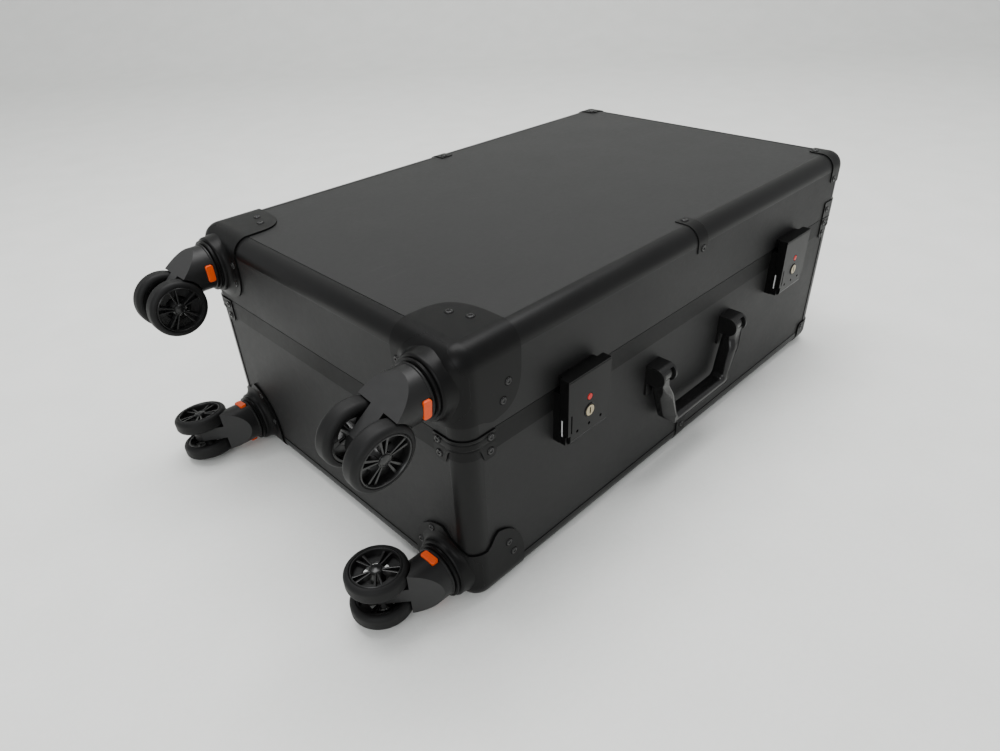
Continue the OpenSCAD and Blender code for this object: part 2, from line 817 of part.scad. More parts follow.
// Side outline of a rim: five pairs of spokes between hub and ring
module rim_outline() {
  difference() {
    circle(rim_r);
    circle(rim_r - 3.5);
  }
  circle(9);
  for (i = [0:4], d = [-1, 1]) rotate(72 * i + 9 * d)
    translate([6, -1.6]) square([16, 3.2]);
}

module caster_tyres(name) {
  color("#090a0b") at_caster(name) translate([trail, 0, axle_drop]) rotate([90, 0, 0])
    for (s = [-1, 1]) translate([0, 0, s > 0 ? wheel_in : -wheel_out])
      rotate_extrude() tyre_section(wheel_out - wheel_in);
}

// Tyre section: a flat tread with rounded shoulders
module tyre_section(w) {
  r = 4;
  bore_r = rim_r + 0.02;
  translate([bore_r, 0]) square([wheel_r - bore_r - r, w]);
  translate([bore_r, r]) square([wheel_r - bore_r, w - 2 * r]);
  for (y = [r, w - r]) translate([wheel_r - r, y]) circle(r);
}

// ---- Output ----

back_panel();
base_long_walls();
base_end_walls();
base_edge_rails();
base_corner_posts();
base_seam_frame();
base_wheel_corners();
base_corner_plates();
base_seam_plates();
base_straps();
base_rivets();
base_lining();
lid_panel();
lid_long_walls();
lid_end_walls();
lid_edge_rails();
lid_corner_posts();
lid_seam_frame();
lid_wheel_corners();
lid_corner_plates();
lid_seam_plates();
lid_straps();
lid_rivets();
lid_lining();
hinge_base_leaves();
hinge_lid_leaves();
latch_bases();
latch_keepers();
latch_flap(-1);  // latch_flap_wheel_end
latch_flap(1);  // latch_flap_grip_end
lock_plug(-1);  // lock_plug_wheel_end
lock_plug(1);  // lock_plug_grip_end
handle_boots();
carry_handle();
trolley_cup();
trolley_outer_tubes();
trolley_inner_tubes();
trolley_grip();
trolley_button();
for (name = CASTERS) {
  caster_fork(name);
  caster_wheels(name);
  caster_tyres(name);
  caster_button(name, 1);
  caster_button(name, -1);
}
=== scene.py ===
"""Looks of a framed hard shell case on wheels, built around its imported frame.

The case lies on its back face: +Z out through the lid, -X towards the wheels, -Y the side with the
latches and the carry handle. Every size is in metres unless its name ends in _mm.
"""
from __future__ import annotations

import json
import logging
import math
from collections.abc import Callable, Sequence
from dataclasses import dataclass, field
from enum import Enum

import bmesh
import bpy
from mathutils import Matrix, Vector


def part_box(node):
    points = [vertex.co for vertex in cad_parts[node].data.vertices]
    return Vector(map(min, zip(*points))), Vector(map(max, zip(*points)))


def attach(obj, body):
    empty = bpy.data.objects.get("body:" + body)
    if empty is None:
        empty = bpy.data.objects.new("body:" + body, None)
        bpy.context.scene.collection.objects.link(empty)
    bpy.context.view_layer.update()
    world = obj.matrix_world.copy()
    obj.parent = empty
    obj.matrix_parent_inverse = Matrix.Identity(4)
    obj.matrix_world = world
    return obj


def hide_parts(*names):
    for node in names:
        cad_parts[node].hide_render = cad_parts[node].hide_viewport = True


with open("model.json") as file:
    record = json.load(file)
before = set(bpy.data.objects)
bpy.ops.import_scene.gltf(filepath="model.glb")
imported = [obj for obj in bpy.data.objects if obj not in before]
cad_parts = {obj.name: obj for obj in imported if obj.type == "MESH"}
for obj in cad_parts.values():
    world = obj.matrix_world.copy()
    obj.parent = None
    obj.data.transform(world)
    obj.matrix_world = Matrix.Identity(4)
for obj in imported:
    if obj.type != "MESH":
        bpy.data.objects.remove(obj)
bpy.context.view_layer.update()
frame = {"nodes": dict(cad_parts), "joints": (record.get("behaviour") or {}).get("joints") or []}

logging.basicConfig(level=logging.INFO, format="%(message)s")
log = logging.getLogger("case")

MM = 0.001
SEAM_DEPTH = 22 * MM
Point = tuple[float, float, float]
Point2 = tuple[float, float]
Colour = tuple[float, float, float, float]


# ---------------------------------------------------------------------------------------------
# Node trees and materials
# ---------------------------------------------------------------------------------------------


class NodeGraph:
    """Adds nodes to one tree and links them."""

    def __init__(self, tree: bpy.types.NodeTree) -> None:
        """Starts from an empty tree.

        Args:
            tree: The material's or modifier's node tree.
        """
        self.tree = tree
        tree.nodes.clear()

    def add(self, kind: str, settings: dict | None = None, **inputs: object) -> bpy.types.Node:
        """Adds one node.

        Args:
            kind: The node's type name.
            settings: Properties of the node, such as its operation.
            **inputs: Socket name (spaces as _) or i0, i1 to a value or an output socket.

        Returns:
            The new node.
        """
        node = self.tree.nodes.new(kind)
        for key, value in (settings or {}).items():
            setattr(node, key, value)
        for key, value in inputs.items():
            socket = node.inputs[int(key[1:])] if key[1:].isdigit() else self._named(node, key)
            if isinstance(value, bpy.types.NodeSocket):
                self.tree.links.new(value, socket)
            else:
                socket.default_value = value
        return node

    @staticmethod
    def _named(node: bpy.types.Node, key: str) -> bpy.types.NodeSocket:
        """Finds an enabled input by its name, with _ for a space."""
        wanted = key.replace("_", " ")
        return next(s for s in node.inputs if s.name == wanted and s.enabled)

    def math(self, operation: str, first: object, second: object = 0.0) -> bpy.types.NodeSocket:
        """Adds a maths node and gives its output."""
        return self.add("ShaderNodeMath", {"operation": operation}, i0=first, i1=second).outputs[0]

    def spread(self, value: bpy.types.NodeSocket, low: float, high: float,
               start: float = 0.0, end: float = 1.0) -> bpy.types.NodeSocket:
        """Maps a value from one range to another, clamped."""
        node = self.add("ShaderNodeMapRange", None, Value=value, From_Min=start, From_Max=end,
                        To_Min=low, To_Max=high)
        return node.outputs[0]


class Grain(Enum):
    """The small relief of a surface."""

    PEBBLE = "pebble"
    SPARK = "spark"
    TURNED = "turned"
    BRUSHED = "brushed"
    WOVEN = "woven"


@dataclass(frozen=True)
class Finish:
    """One surface finish of the case."""

    name: str
    colour: Colour
    second: Colour
    rough: Point2
    grain: Grain = Grain.SPARK
    grain_mm: float = 0.6
    depth_mm: float = 0.02
    metallic: float = 0.0
    coat: float = 0.0
    specular: float = 0.5
    scuff: float = 0.0
    sheen: float = 0.0

    def material(self) -> bpy.types.Material:
        """Builds the material.

        Returns:
            A node material on object coordinates.
        """
        made = bpy.data.materials.new(self.name)
        made.use_nodes = True
        made.diffuse_color = self.colour
        graph = NodeGraph(made.node_tree)
        place = graph.add("ShaderNodeTexCoord").outputs["Object"]
        shader = graph.add("ShaderNodeBsdfPrincipled", None, Metallic=self.metallic,
                           Coat_Weight=self.coat, Coat_Roughness=0.25,
                           Specular_IOR_Level=self.specular, Sheen_Weight=self.sheen,
                           Sheen_Roughness=0.5)
        cloud = self._noise(graph, place, 11.0, 3.0)
        fine = self._noise(graph, place, 160.0, 2.0)
        relief = self._relief(graph, place)
        mixed = graph.math("ADD", graph.math("MULTIPLY", cloud, 0.65),
                           graph.math("MULTIPLY", fine, 0.35))
        tone = graph.spread(mixed, 0.0, 1.0, 0.3, 0.7)
        tint = graph.add("ShaderNodeMix", {"data_type": "RGBA"})
        graph.tree.links.new(tone, tint.inputs[0])
        tint.inputs[6].default_value = self.colour
        tint.inputs[7].default_value = self.second
        colour = tint.outputs[2]
        rough = graph.spread(mixed, self.rough[0], self.rough[1], 0.3, 0.7)
        if self.scuff:
            marks = self._scuffs(graph, place)
            worn = graph.add("ShaderNodeMix", {"data_type": "RGBA"})
            graph.tree.links.new(marks, worn.inputs[0])
            graph.tree.links.new(colour, worn.inputs[6])
            rubbed = tuple(min(1.0, c * 2.2 + 0.02) for c in self.second[:3])
            worn.inputs[7].default_value = rubbed + (1.0,)
            colour = worn.outputs[2]
            rough = graph.math("ADD", rough, graph.math("MULTIPLY", marks, 0.12))
        graph.tree.links.new(colour, shader.inputs["Base Color"])
        graph.tree.links.new(rough, shader.inputs["Roughness"])
        bump = graph.add("ShaderNodeBump", None, Strength=1.0, Distance=self.depth_mm * MM,
                         Height=relief)
        graph.tree.links.new(bump.outputs[0], shader.inputs["Normal"])
        out = graph.add("ShaderNodeOutputMaterial")
        graph.tree.links.new(shader.outputs[0], out.inputs["Surface"])
        return made

    @staticmethod
    def _noise(graph: NodeGraph, place: bpy.types.NodeSocket, scale: float,
               detail: float) -> bpy.types.NodeSocket:
        """A plain noise at a scale in features per metre."""
        return graph.add("ShaderNodeTexNoise", None, Vector=place, Scale=scale,
                         Detail=detail).outputs[0]

    def _scuffs(self, graph: NodeGraph, place: bpy.types.NodeSocket) -> bpy.types.NodeSocket:
        """Thin, faint rub marks."""
        turned = graph.add("ShaderNodeMapping", None, Vector=place, Rotation=(0.4, 0.3, 0.7),
                           Scale=(9.0, 150.0, 60.0)).outputs[0]
        streak = self._noise(graph, turned, 1.0, 2.0)
        patch = self._noise(graph, place, 7.0, 1.0)
        thin = graph.spread(streak, 0.0, 1.0, 0.70, 0.74)
        where = graph.spread(patch, 0.0, self.scuff, 0.5, 0.7)
        return graph.math("MULTIPLY", thin, where)

    def _relief(self, graph: NodeGraph, place: bpy.types.NodeSocket) -> bpy.types.NodeSocket:
        """The height of the small relief."""
        per_metre = 1.0 / (self.grain_mm * MM)
        if self.grain is Grain.PEBBLE:
            cells = graph.add("ShaderNodeTexVoronoi", {"feature": "SMOOTH_F1"}, Vector=place,
                              Scale=per_metre, Smoothness=0.6).outputs["Distance"]
            return graph.math("ADD", cells, self._noise(graph, place, per_metre * 0.45, 2.0))
        if self.grain is Grain.BRUSHED:
            long = graph.add("ShaderNodeMapping", None, Vector=place,
                             Scale=(0.02, 1.0, 1.0)).outputs[0]
            return self._noise(graph, long, per_metre, 3.0)
        if self.grain is Grain.TURNED:
            return graph.add("ShaderNodeTexWave", {"wave_type": "RINGS", "rings_direction": "Y"},
                             Vector=place, Scale=per_metre * 0.2, Distortion=0.3).outputs[1]
        if self.grain is Grain.WOVEN:
            waves = [graph.add("ShaderNodeTexWave", {"bands_direction": axis}, Vector=place,
                               Scale=per_metre * 0.3, Distortion=0.6).outputs[1]
                     for axis in ("X", "Y", "Z")]
            cross = graph.math("MAXIMUM", waves[0], waves[1])
            return graph.math("MAXIMUM", cross, waves[2])
        return self._noise(graph, place, per_metre, 2.0)


def grey(value: float, warm: float = 0.0) -> Colour:
    """A neutral colour, a little warm or cool."""
    return (value * (1 + warm), value, value * (1 - warm), 1.0)


class Finishes:
    """Every finish of the case, made once."""

    def __init__(self) -> None:
        """Makes the materials."""
        rows = (
            # The lid panel's laminate is a little lighter than the walls' laminate: painted light
            # on the top face.
            Finish("lid_laminate_painted_lighter", grey(0.011), grey(0.015), (0.48, 0.56), Grain.PEBBLE, 0.9, 0.05,
                   specular=0.24, scuff=0.25),
            Finish("side_laminate", grey(0.010), grey(0.013), (0.48, 0.58), Grain.PEBBLE, 0.9, 0.05,
                   specular=0.22, scuff=0.15),
            Finish("coated_extrusion", grey(0.003), grey(0.005), (0.34, 0.41), Grain.SPARK, 0.5,
                   0.012, specular=0.17, scuff=0.08),
            Finish("seam_extrusion", grey(0.003), grey(0.005), (0.46, 0.54), Grain.SPARK, 0.5,
                   0.012, specular=0.14),
            Finish("corner_moulding", grey(0.0028), grey(0.004), (0.36, 0.44), Grain.SPARK, 0.45,
                   0.016, specular=0.13, scuff=0.06),
            Finish("rivet_black", grey(0.010), grey(0.014), (0.20, 0.28), Grain.SPARK, 0.3, 0.01,
                   metallic=0.4),
            Finish("rivet_shadow", grey(0.001), grey(0.002), (0.6, 0.7), Grain.SPARK, 0.3, 0.01,
                   specular=0.1),
            Finish("caster_nylon", grey(0.005), grey(0.007), (0.38, 0.48), Grain.SPARK, 0.4, 0.015,
                   specular=0.28),
            # A lighter grey of the same nylon for the fork's flat back: painted sheen.
            Finish("fork_painted_sheen", grey(0.018), grey(0.025), (0.5, 0.6), Grain.SPARK, 0.5, 0.02,
                   specular=0.3),
            Finish("rim_moulding", grey(0.005), grey(0.007), (0.24, 0.34), Grain.SPARK, 0.5, 0.008,
                   specular=0.45),
            Finish("tyre_rubber", grey(0.004), grey(0.006), (0.5, 0.62), Grain.SPARK, 0.35, 0.02,
                   specular=0.22),
            Finish("release_orange", (0.62, 0.055, 0.003, 1), (0.70, 0.075, 0.005, 1), (0.36, 0.44),
                   Grain.SPARK, 0.4, 0.008, specular=0.25),
            Finish("latch_black", grey(0.003), grey(0.005), (0.28, 0.36), Grain.SPARK, 0.4, 0.008,
                   specular=0.12, scuff=0.06),
            Finish("handle_black", grey(0.004), grey(0.006), (0.20, 0.28), Grain.SPARK, 0.5, 0.006,
                   specular=0.34, coat=0.12),
            Finish("boot_black", grey(0.0025), grey(0.004), (0.34, 0.44), Grain.SPARK, 0.4, 0.012,
                   specular=0.35),
            Finish("lock_brass", (0.33, 0.28, 0.18, 1), (0.44, 0.38, 0.26, 1), (0.24, 0.34),
                   Grain.TURNED, 0.3, 0.01, metallic=0.8),
            # Near-white, a little metallic, for the bright part in the latch's side slit: its glint
            # is painted into the colour.
            Finish("slit_painted_glint", grey(0.80), grey(0.88), (0.3, 0.4), Grain.BRUSHED, 0.2, 0.004,
                   metallic=0.3),
            Finish("red_mark", (0.50, 0.012, 0.010, 1), (0.58, 0.02, 0.015, 1), (0.35, 0.42),
                   Grain.SPARK, 0.4, 0.004, specular=0.25),
            Finish("black_steel", grey(0.008), grey(0.012), (0.32, 0.42), Grain.SPARK, 0.4, 0.01,
                   metallic=0.4, specular=0.3),
            Finish("tube_aluminium", grey(0.38), grey(0.46), (0.26, 0.34), Grain.BRUSHED, 0.25,
                   0.006, metallic=1.0),
            Finish("button_grey", grey(0.20), grey(0.24), (0.35, 0.42), Grain.SPARK, 0.4, 0.01),
            Finish("lining_cloth", grey(0.045, 0.01), grey(0.065, 0.01), (0.8, 0.9), Grain.WOVEN,
                   0.7, 0.06, specular=0.2, sheen=0.3),
        )
        self.made = {row.name: row.material() for row in rows}

    def __getitem__(self, name: str) -> bpy.types.Material:
        """The material of that name."""
        return self.made[name]


# ---------------------------------------------------------------------------------------------
# Mesh tools
# ---------------------------------------------------------------------------------------------


def mesh_object(name: str, verts: Sequence, faces: Sequence) -> bpy.types.Object:
    """Makes a linked mesh object with outward faces.

    Args:
        name: The piece's name.
        verts: Corner positions.
        faces: Corner indices of each face.

    Returns:
        The new object, at the origin.
    """
    mesh = bpy.data.meshes.new(name)
    mesh.from_pydata([tuple(v) for v in verts], [], faces)
    work = bmesh.new()
    work.from_mesh(mesh)
    bmesh.ops.remove_doubles(work, verts=work.verts, dist=1e-6)
    bmesh.ops.dissolve_degenerate(work, edges=work.edges, dist=1e-7)
    bmesh.ops.recalc_face_normals(work, faces=work.faces)
    work.to_mesh(mesh)
    work.free()
    made = bpy.data.objects.new(name, mesh)
    bpy.context.scene.collection.objects.link(made)
    return made


def applied(obj: bpy.types.Object) -> bpy.types.Object:
    """Applies an object's modifiers to its mesh."""
    graph = bpy.context.evaluated_depsgraph_get()
    done = bpy.data.meshes.new_from_object(obj.evaluated_get(graph))
    obj.modifiers.clear()
    old = obj.data
    obj.data = done
    if old.users == 0:
        bpy.data.meshes.remove(old)
    return obj


def rounded(obj: bpy.types.Object, width: float, segments: int = 3,
            angle: float = 35.0) -> bpy.types.Object:
    """Rounds an object's sharp edges.

    Args:
        obj: The mesh object.
        width: Width of the rounding.
        segments: Steps across it.
        angle: Edges sharper than this, in degrees, are rounded.

    Returns:
        The same object.
    """
    bevel = obj.modifiers.new("round", "BEVEL")
    bevel.width = width
    bevel.segments = segments
    bevel.limit_method = "ANGLE"
    bevel.angle_limit = math.radians(angle)
    bevel.use_clamp_overlap = True
    bevel.harden_normals = False
    applied(obj)
    return smooth(obj)


def smooth(obj: bpy.types.Object, angle: float = 32.0) -> bpy.types.Object:
    """Shades smooth, with sharp edges kept above an angle."""
    limit = math.radians(angle)
    work = bmesh.new()
    work.from_mesh(obj.data)
    for face in work.faces:
        face.smooth = True
    for edge in work.edges:
        edge.smooth = not (len(edge.link_faces) == 2 and edge.calc_face_angle(0.0) > limit)
    work.to_mesh(obj.data)
    work.free()
    return obj


def softened(name: str, node: str, width: float, segments: int = 3) -> bpy.types.Object:
    """Copies a frame node as one clean mesh with rounded edges.

    Args:
        name: The new piece's name.
        node: The frame node it copies.
        width: Width of the edge rounding.
        segments: Steps across the rounding.

    Returns:
        The new object.
    """
    work = bmesh.new()
    work.from_mesh(frame["nodes"][node].data)
    bmesh.ops.remove_doubles(work, verts=work.verts, dist=2e-6)
    bmesh.ops.dissolve_limit(work, angle_limit=math.radians(1.0), verts=work.verts,
                             edges=work.edges)
    mesh = bpy.data.meshes.new(name)
    work.to_mesh(mesh)
    work.free()
    made = bpy.data.objects.new(name, mesh)
    bpy.context.scene.collection.objects.link(made)
    return rounded(made, width, segments)


def lathe(name: str, profile: Sequence[Point2], place: Matrix, steps: int = 64) -> bpy.types.Object:
    """Turns a profile about the local Z axis.

    Args:
        name: The piece's name.
        profile: (radius, height) points. It closes itself unless it starts and ends on the axis.
        place: Where the local frame stands.
        steps: Faces around.

    Returns:
        The new object.
    """
    on_axis = profile[0][0] == 0 and profile[-1][0] == 0
    count = len(profile)
    verts = []
    for i in range(steps):
        turn = 2 * math.pi * i / steps
        verts += [place @ Vector((r * math.cos(turn), r * math.sin(turn), z)) for r, z in profile]
    last = count - 1 if on_axis else count
    faces = []
    for i in range(steps):
        here, there = i * count, (i + 1) % steps * count
        for k in range(last):
            after = (k + 1) % count
            faces.append((here + k, there + k, there + after, here + after))
    return smooth(mesh_object(name, verts, faces))


def extruded(name: str, outline: Sequence[Point2], low: float, high: float,
             place: Matrix) -> bpy.types.Object:
    """Extrudes a closed outline along the local Z axis."""
    count = len(outline)
    verts = [place @ Vector((x, y, z)) for z in (low, high) for x, y in outline]
    faces = [tuple(range(count)), tuple(range(count, 2 * count))]
    faces += [(i, (i + 1) % count, count + (i + 1) % count, count + i) for i in range(count)]
    return mesh_object(name, verts, faces)


def block(name: str, low: Sequence[float], high: Sequence[float],
          place: Matrix = Matrix.Identity(4)) -> bpy.types.Object:
    """A box between two corners."""
    outline = [(low[0], low[1]), (high[0], low[1]), (high[0], high[1]), (low[0], high[1])]
    return extruded(name, outline, low[2], high[2], place)


def joined(name: str, parts: Sequence[bpy.types.Object]) -> bpy.types.Object:
    """Joins objects into one mesh, each keeping its materials."""
    work = bmesh.new()
    materials: list[bpy.types.Material] = []
    for part in parts:
        slots = list(part.data.materials)
        shift = {}
        for index, material in enumerate(slots):
            if material not in materials:
                materials.append(material)
            shift[index] = materials.index(material)
        before = len(work.faces)
        work.from_mesh(part.data)
        work.faces.ensure_lookup_table()
        for face in work.faces[before:]:
            face.material_index = shift.get(face.material_index, 0)
    mesh = bpy.data.meshes.new(name)
    work.to_mesh(mesh)
    work.free()
    for material in materials:
        mesh.materials.append(material)
    for part in parts:
        bpy.data.objects.remove(part)
    made = bpy.data.objects.new(name, mesh)
    bpy.context.scene.collection.objects.link(made)
    return made


def turned_outwards(sheet: bpy.types.Object, centre: Vector) -> None:
    """Turns an open sheet's faces away from a point behind it."""
    work = bmesh.new()
    work.from_mesh(sheet.data)
    if sum((f.calc_center_median() - centre).dot(f.normal) * f.calc_area()
           for f in work.faces) < 0:
        bmesh.ops.reverse_faces(work, faces=work.faces)
    work.to_mesh(sheet.data)
    work.free()


def evened(obj: bpy.types.Object) -> bpy.types.Object:
    """Weights normals by face area, so that flat faces look flat beside rounded edges."""
    even = obj.modifiers.new("even", "WEIGHTED_NORMAL")
    even.keep_sharp = True
    return applied(obj)


def dressed(obj: bpy.types.Object, material: bpy.types.Material) -> bpy.types.Object:
    """Gives an object one material."""
    obj.data.materials.clear()
    obj.data.materials.append(material)
    return obj


def placed(obj: bpy.types.Object, body: str, slot: str = "", *nodes: str) -> bpy.types.Object:
    """Lets a finished piece ride on its body and stand for frame nodes."""
    evened(obj)
    if nodes:
        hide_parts(*nodes)
    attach(obj, body)
    log.info("%s rides on %s, %d faces", obj.name, body, len(obj.data.polygons))
    return obj


def ramp(count: int, low: float = 0.0, high: float = 1.0) -> list[float]:
    """Evenly spaced values from low to high."""
    return [low + (high - low) * i / (count - 1) for i in range(count)]


def smoothstep(value: float) -> float:
    """A smooth rise from 0 to 1."""
    value = min(1.0, max(0.0, value))
    return value * value * (3 - 2 * value)


# ---------------------------------------------------------------------------------------------
# Repeated items by Geometry Nodes
# ---------------------------------------------------------------------------------------------


@dataclass
class Scatter:
    """Stands copies of one small mesh on points, each turned to its point's facing."""

    name: str
    template: bpy.types.Object
    material: bpy.types.Material
    size: float = 1.0
    points: list[Point] = field(default_factory=list)
    facings: list[Point] = field(default_factory=list)
    spins: list[float] = field(default_factory=list)

    def add(self, point: Sequence[float], facing: Sequence[float], spin: float = 0.0) -> None:
        """Adds one place: a point, the way its copy faces, and its turn about that."""
        self.points.append(tuple(point))
        self.facings.append(tuple(facing))
        self.spins.append(spin)

    def _tree(self) -> bpy.types.NodeTree:
        """Builds the tree, with the template, size and material as named inputs."""
        tree = bpy.data.node_groups.new(self.name + "_tree", "GeometryNodeTree")
        sockets = (("Geometry", "NodeSocketGeometry"), ("Template", "NodeSocketObject"),
                   ("Size", "NodeSocketFloat"), ("Finish", "NodeSocketMaterial"))
        for label, kind in sockets:
            tree.interface.new_socket(label, in_out="INPUT", socket_type=kind)
        tree.interface.new_socket("Geometry", in_out="OUTPUT", socket_type="NodeSocketGeometry")
        graph = NodeGraph(tree)
        given = graph.add("NodeGroupInput")
        facing = graph.add("GeometryNodeInputNamedAttribute", {"data_type": "FLOAT_VECTOR"},
                           Name="facing").outputs[0]
        spin = graph.add("GeometryNodeInputNamedAttribute", {"data_type": "FLOAT"},
                         Name="spin").outputs[0]
        aligned = graph.add("FunctionNodeAlignRotationToVector", {"axis": "Z"},
                            Vector=facing).outputs[0]
        about = graph.add("FunctionNodeAxisAngleToRotation", None, Axis=(0.0, 0.0, 1.0),
                          Angle=spin).outputs[0]
        turned = graph.add("FunctionNodeRotateRotation", {"rotation_space": "LOCAL"},
                           Rotation=aligned, Rotate_By=about).outputs[0]
        source = graph.add("GeometryNodeObjectInfo", None, Object=given.outputs["Template"])
        points = graph.add("GeometryNodeMeshToPoints", None, Mesh=given.outputs["Geometry"])
        stood = graph.add("GeometryNodeInstanceOnPoints", None, Points=points.outputs[0],
                          Instance=source.outputs["Geometry"], Rotation=turned,
                          Scale=given.outputs["Size"])
        real = graph.add("GeometryNodeRealizeInstances", None, Geometry=stood.outputs[0])
        painted = graph.add("GeometryNodeSetMaterial", None, Geometry=real.outputs[0],
                            Material=given.outputs["Finish"])
        out = graph.add("NodeGroupOutput")
        tree.links.new(painted.outputs[0], out.inputs[0])
        return tree

    def build(self) -> bpy.types.Object:
        """Makes all the copies.

        Returns:
            One plain mesh object.
        """
        mesh = bpy.data.meshes.new(self.name)
        mesh.from_pydata(self.points, [], [])
        facing = mesh.attributes.new("facing", "FLOAT_VECTOR", "POINT")
        facing.data.foreach_set("vector", [c for f in self.facings for c in f])
        mesh.attributes.new("spin", "FLOAT", "POINT").data.foreach_set("value", self.spins)
        obj = bpy.data.objects.new(self.name, mesh)
        bpy.context.scene.collection.objects.link(obj)
        tree = self._tree()
        modifier = obj.modifiers.new("copies", "NODES")
        modifier.node_group = tree
        values = {"Template": self.template, "Size": self.size, "Finish": self.material}
        for item in tree.interface.items_tree:
            if item.in_out == "INPUT" and item.name in values:
                modifier[item.identifier] = values[item.name]
        applied(obj)
        bpy.data.objects.remove(self.template)
        return smooth(obj)


def rivet_template() -> bpy.types.Object:
    """A pressed tubular rivet: a rolled rim round a hollow, standing on z 0."""
    rows = ((0.0, 0.25), (0.30, 0.22), (0.42, 0.50), (0.52, 0.88), (0.66, 1.0), (0.80, 0.93),
            (0.93, 0.62), (1.0, 0.2), (1.0, -0.2), (0.0, -0.2))
    radius, height = 3.55 * MM, 1.15 * MM
    return lathe("rivet_head", [(radius * r, height * z) for r, z in rows],
                 Matrix.Identity(4), 20)


# ---------------------------------------------------------------------------------------------
# Case shell
# ---------------------------------------------------------------------------------------------


@dataclass(frozen=True)
class CaseSize:
    """Main sizes of the case, read from the frame where a node gives them."""

    half_l: float
    half_w: float
    height: float
    seam: float
    edge: float = 18 * MM

    @classmethod
    def measured(cls) -> CaseSize:
        """Reads the sizes from the frame's nodes."""
        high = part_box("lid_edge_rails")[1]
        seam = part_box("base_seam_frame")[0].z + SEAM_DEPTH
        return cls(half_l=high.x, half_w=high.y, height=high.z, seam=seam)


class Half(Enum):
    """The two halves of the case."""

    BASE = "base"
    LID = "lid"


@dataclass
class CornerCover:
    """A moulded cover over one corner: three lobes that meet over the rounded edges."""

    case: CaseSize
    half: Half
    end: int
    side: int
    proud: float
    reach_l: float
    reach_w: float
    drop_l: float
    drop_w: float
    drop_post: float
    power: float = 2.8
    thick: float = 2.4 * MM
    columns: int = 16

    @property
    def radius(self) -> float:
        """Radius of the cover's ball."""
        return self.case.edge + self.proud

    def _frame(self) -> Matrix:
        """Local frame at the centre of the corner's ball, axes pointing outwards."""
        up = 1 if self.half is Half.LID else -1
        z = self.case.height - self.case.edge if up > 0 else self.radius
        centre = Vector((self.end * (self.case.half_l - self.case.edge),
                         self.side * (self.case.half_w - self.case.edge), z))
        return Matrix.Translation(centre) @ Matrix.Diagonal((self.end, self.side, up, 1))

    def _drop(self, fraction: float, full: float) -> float:
        """How far the cover reaches down a wall, at a fraction of its reach along it."""
        round_off = max(0.0, 1 - fraction ** self.power) ** (1 / self.power)
        lobe = self.drop_post + (full - self.drop_post) * smoothstep(fraction / 0.32)
        return max(0.4 * MM, lobe * round_off)

    def _columns(self) -> list[tuple[Callable[[float], Vector], float]]:
        """Each column: its point in plan at a radius, and its drop."""
        far_w, far_l = self.reach_w - self.case.edge, self.reach_l - self.case.edge
        steps = [math.sin(math.pi / 2 * f) for f in ramp(self.columns)]
        found = []
        for f in reversed(steps):
            found.append((lambda r, f=f: Vector((r, -f * far_w)), self._drop(f, self.drop_w)))
        for turn in ramp(13, 0, math.pi / 2)[1:-1]:
            found.append((lambda r, t=turn: Vector((r * math.cos(t), r * math.sin(t))),
                          self.drop_post))
        for f in steps:
            found.append((lambda r, f=f: Vector((-f * far_l, r)), self._drop(f, self.drop_l)))
        return found

    def build(self, name: str) -> bpy.types.Object:
        """Makes the cover as a closed shell."""
        columns, radius = self._columns(), self.radius
        wall_rows, arc_rows = 9, 11
        verts: list[Vector] = []
        for plan, drop in columns:
            for z in ramp(wall_rows, -drop, 0.0):
                flat = plan(radius)
                verts.append(Vector((flat.x, flat.y, z)))
            for turn in ramp(arc_rows, 0, math.pi / 2)[1:]:
                flat = plan(radius * math.cos(turn))
                verts.append(Vector((flat.x, flat.y, radius * math.sin(turn))))
        rows = wall_rows + arc_rows - 1
        faces = [(c * rows + r, (c + 1) * rows + r, (c + 1) * rows + r + 1, c * rows + r + 1)
                 for c in range(len(columns) - 1) for r in range(rows - 1)]
        if self.half is Half.LID:
            self._flat_lobe(verts, faces, radius)
        else:
            self._flat_strip(verts, faces, radius)
        place = self._frame()
        shell = mesh_object(name, [place @ v for v in verts], faces)
        turned_outwards(shell, place @ Vector((-0.02, -0.02, -0.02)))
        solid = shell.modifiers.new("wall", "SOLIDIFY")
        solid.thickness = self.thick
        solid.offset = -1
        solid.use_even_offset = True
        applied(shell)
        rounded(shell, min(0.8 * MM, self.proud * 0.5), 3, 50)
        self._kept_off_floor(shell)
        return shell

    def _kept_off_floor(self, shell: bpy.types.Object) -> None:
        """Flattens the part under the case into a thin sheet that stays above the floor."""
        outside, inside = 0.02 * MM, 0.3 * MM
        for vert in shell.data.vertices:
            if vert.co.z < inside:
                vert.co.z = outside if vert.co.z < -self.proud / 2 else inside

    def _flat_lobe(self, verts: list[Vector], faces: list, radius: float) -> None:
        """Adds the lobe on the flat face, from the ball's pole outwards."""
        far_w, far_l = self.reach_w - self.case.edge, self.reach_l - self.case.edge
        fractions = [math.sin(math.pi / 2 * f) for f in ramp(self.columns)]
        angles = ramp(25, 0, math.pi / 2)
        base = len(verts)
        for angle in angles:
            across, along = math.cos(angle), math.sin(angle)
            reach = ((across / far_w) ** self.power + (along / far_l) ** self.power)
            reach = reach ** (-1 / self.power)
            for f in fractions:
                verts.append(Vector((-along * reach * f, -across * reach * f, radius)))
        count = len(fractions)
        for a in range(len(angles) - 1):
            for k in range(count - 1):
                here, there = base + a * count + k, base + (a + 1) * count + k
                faces.append((here, there, there + 1, here + 1))

    def _flat_strip(self, verts: list[Vector], faces: list, radius: float) -> None:
        """Adds the narrow strip under the case along both edges."""
        strip = 4 * MM
        far_w, far_l = self.reach_w - self.case.edge, self.reach_l - self.case.edge
        outline = [(0, 0), (0, -far_w), (-strip, -far_w), (-strip, -strip), (-far_l, -strip),
                   (-far_l, 0)]
        base = len(verts)
        verts += [Vector((x, y, radius)) for x, y in outline]
        faces.append((base, base + 1, base + 2, base + 3))
        faces.append((base, base + 3, base + 4, base + 5))


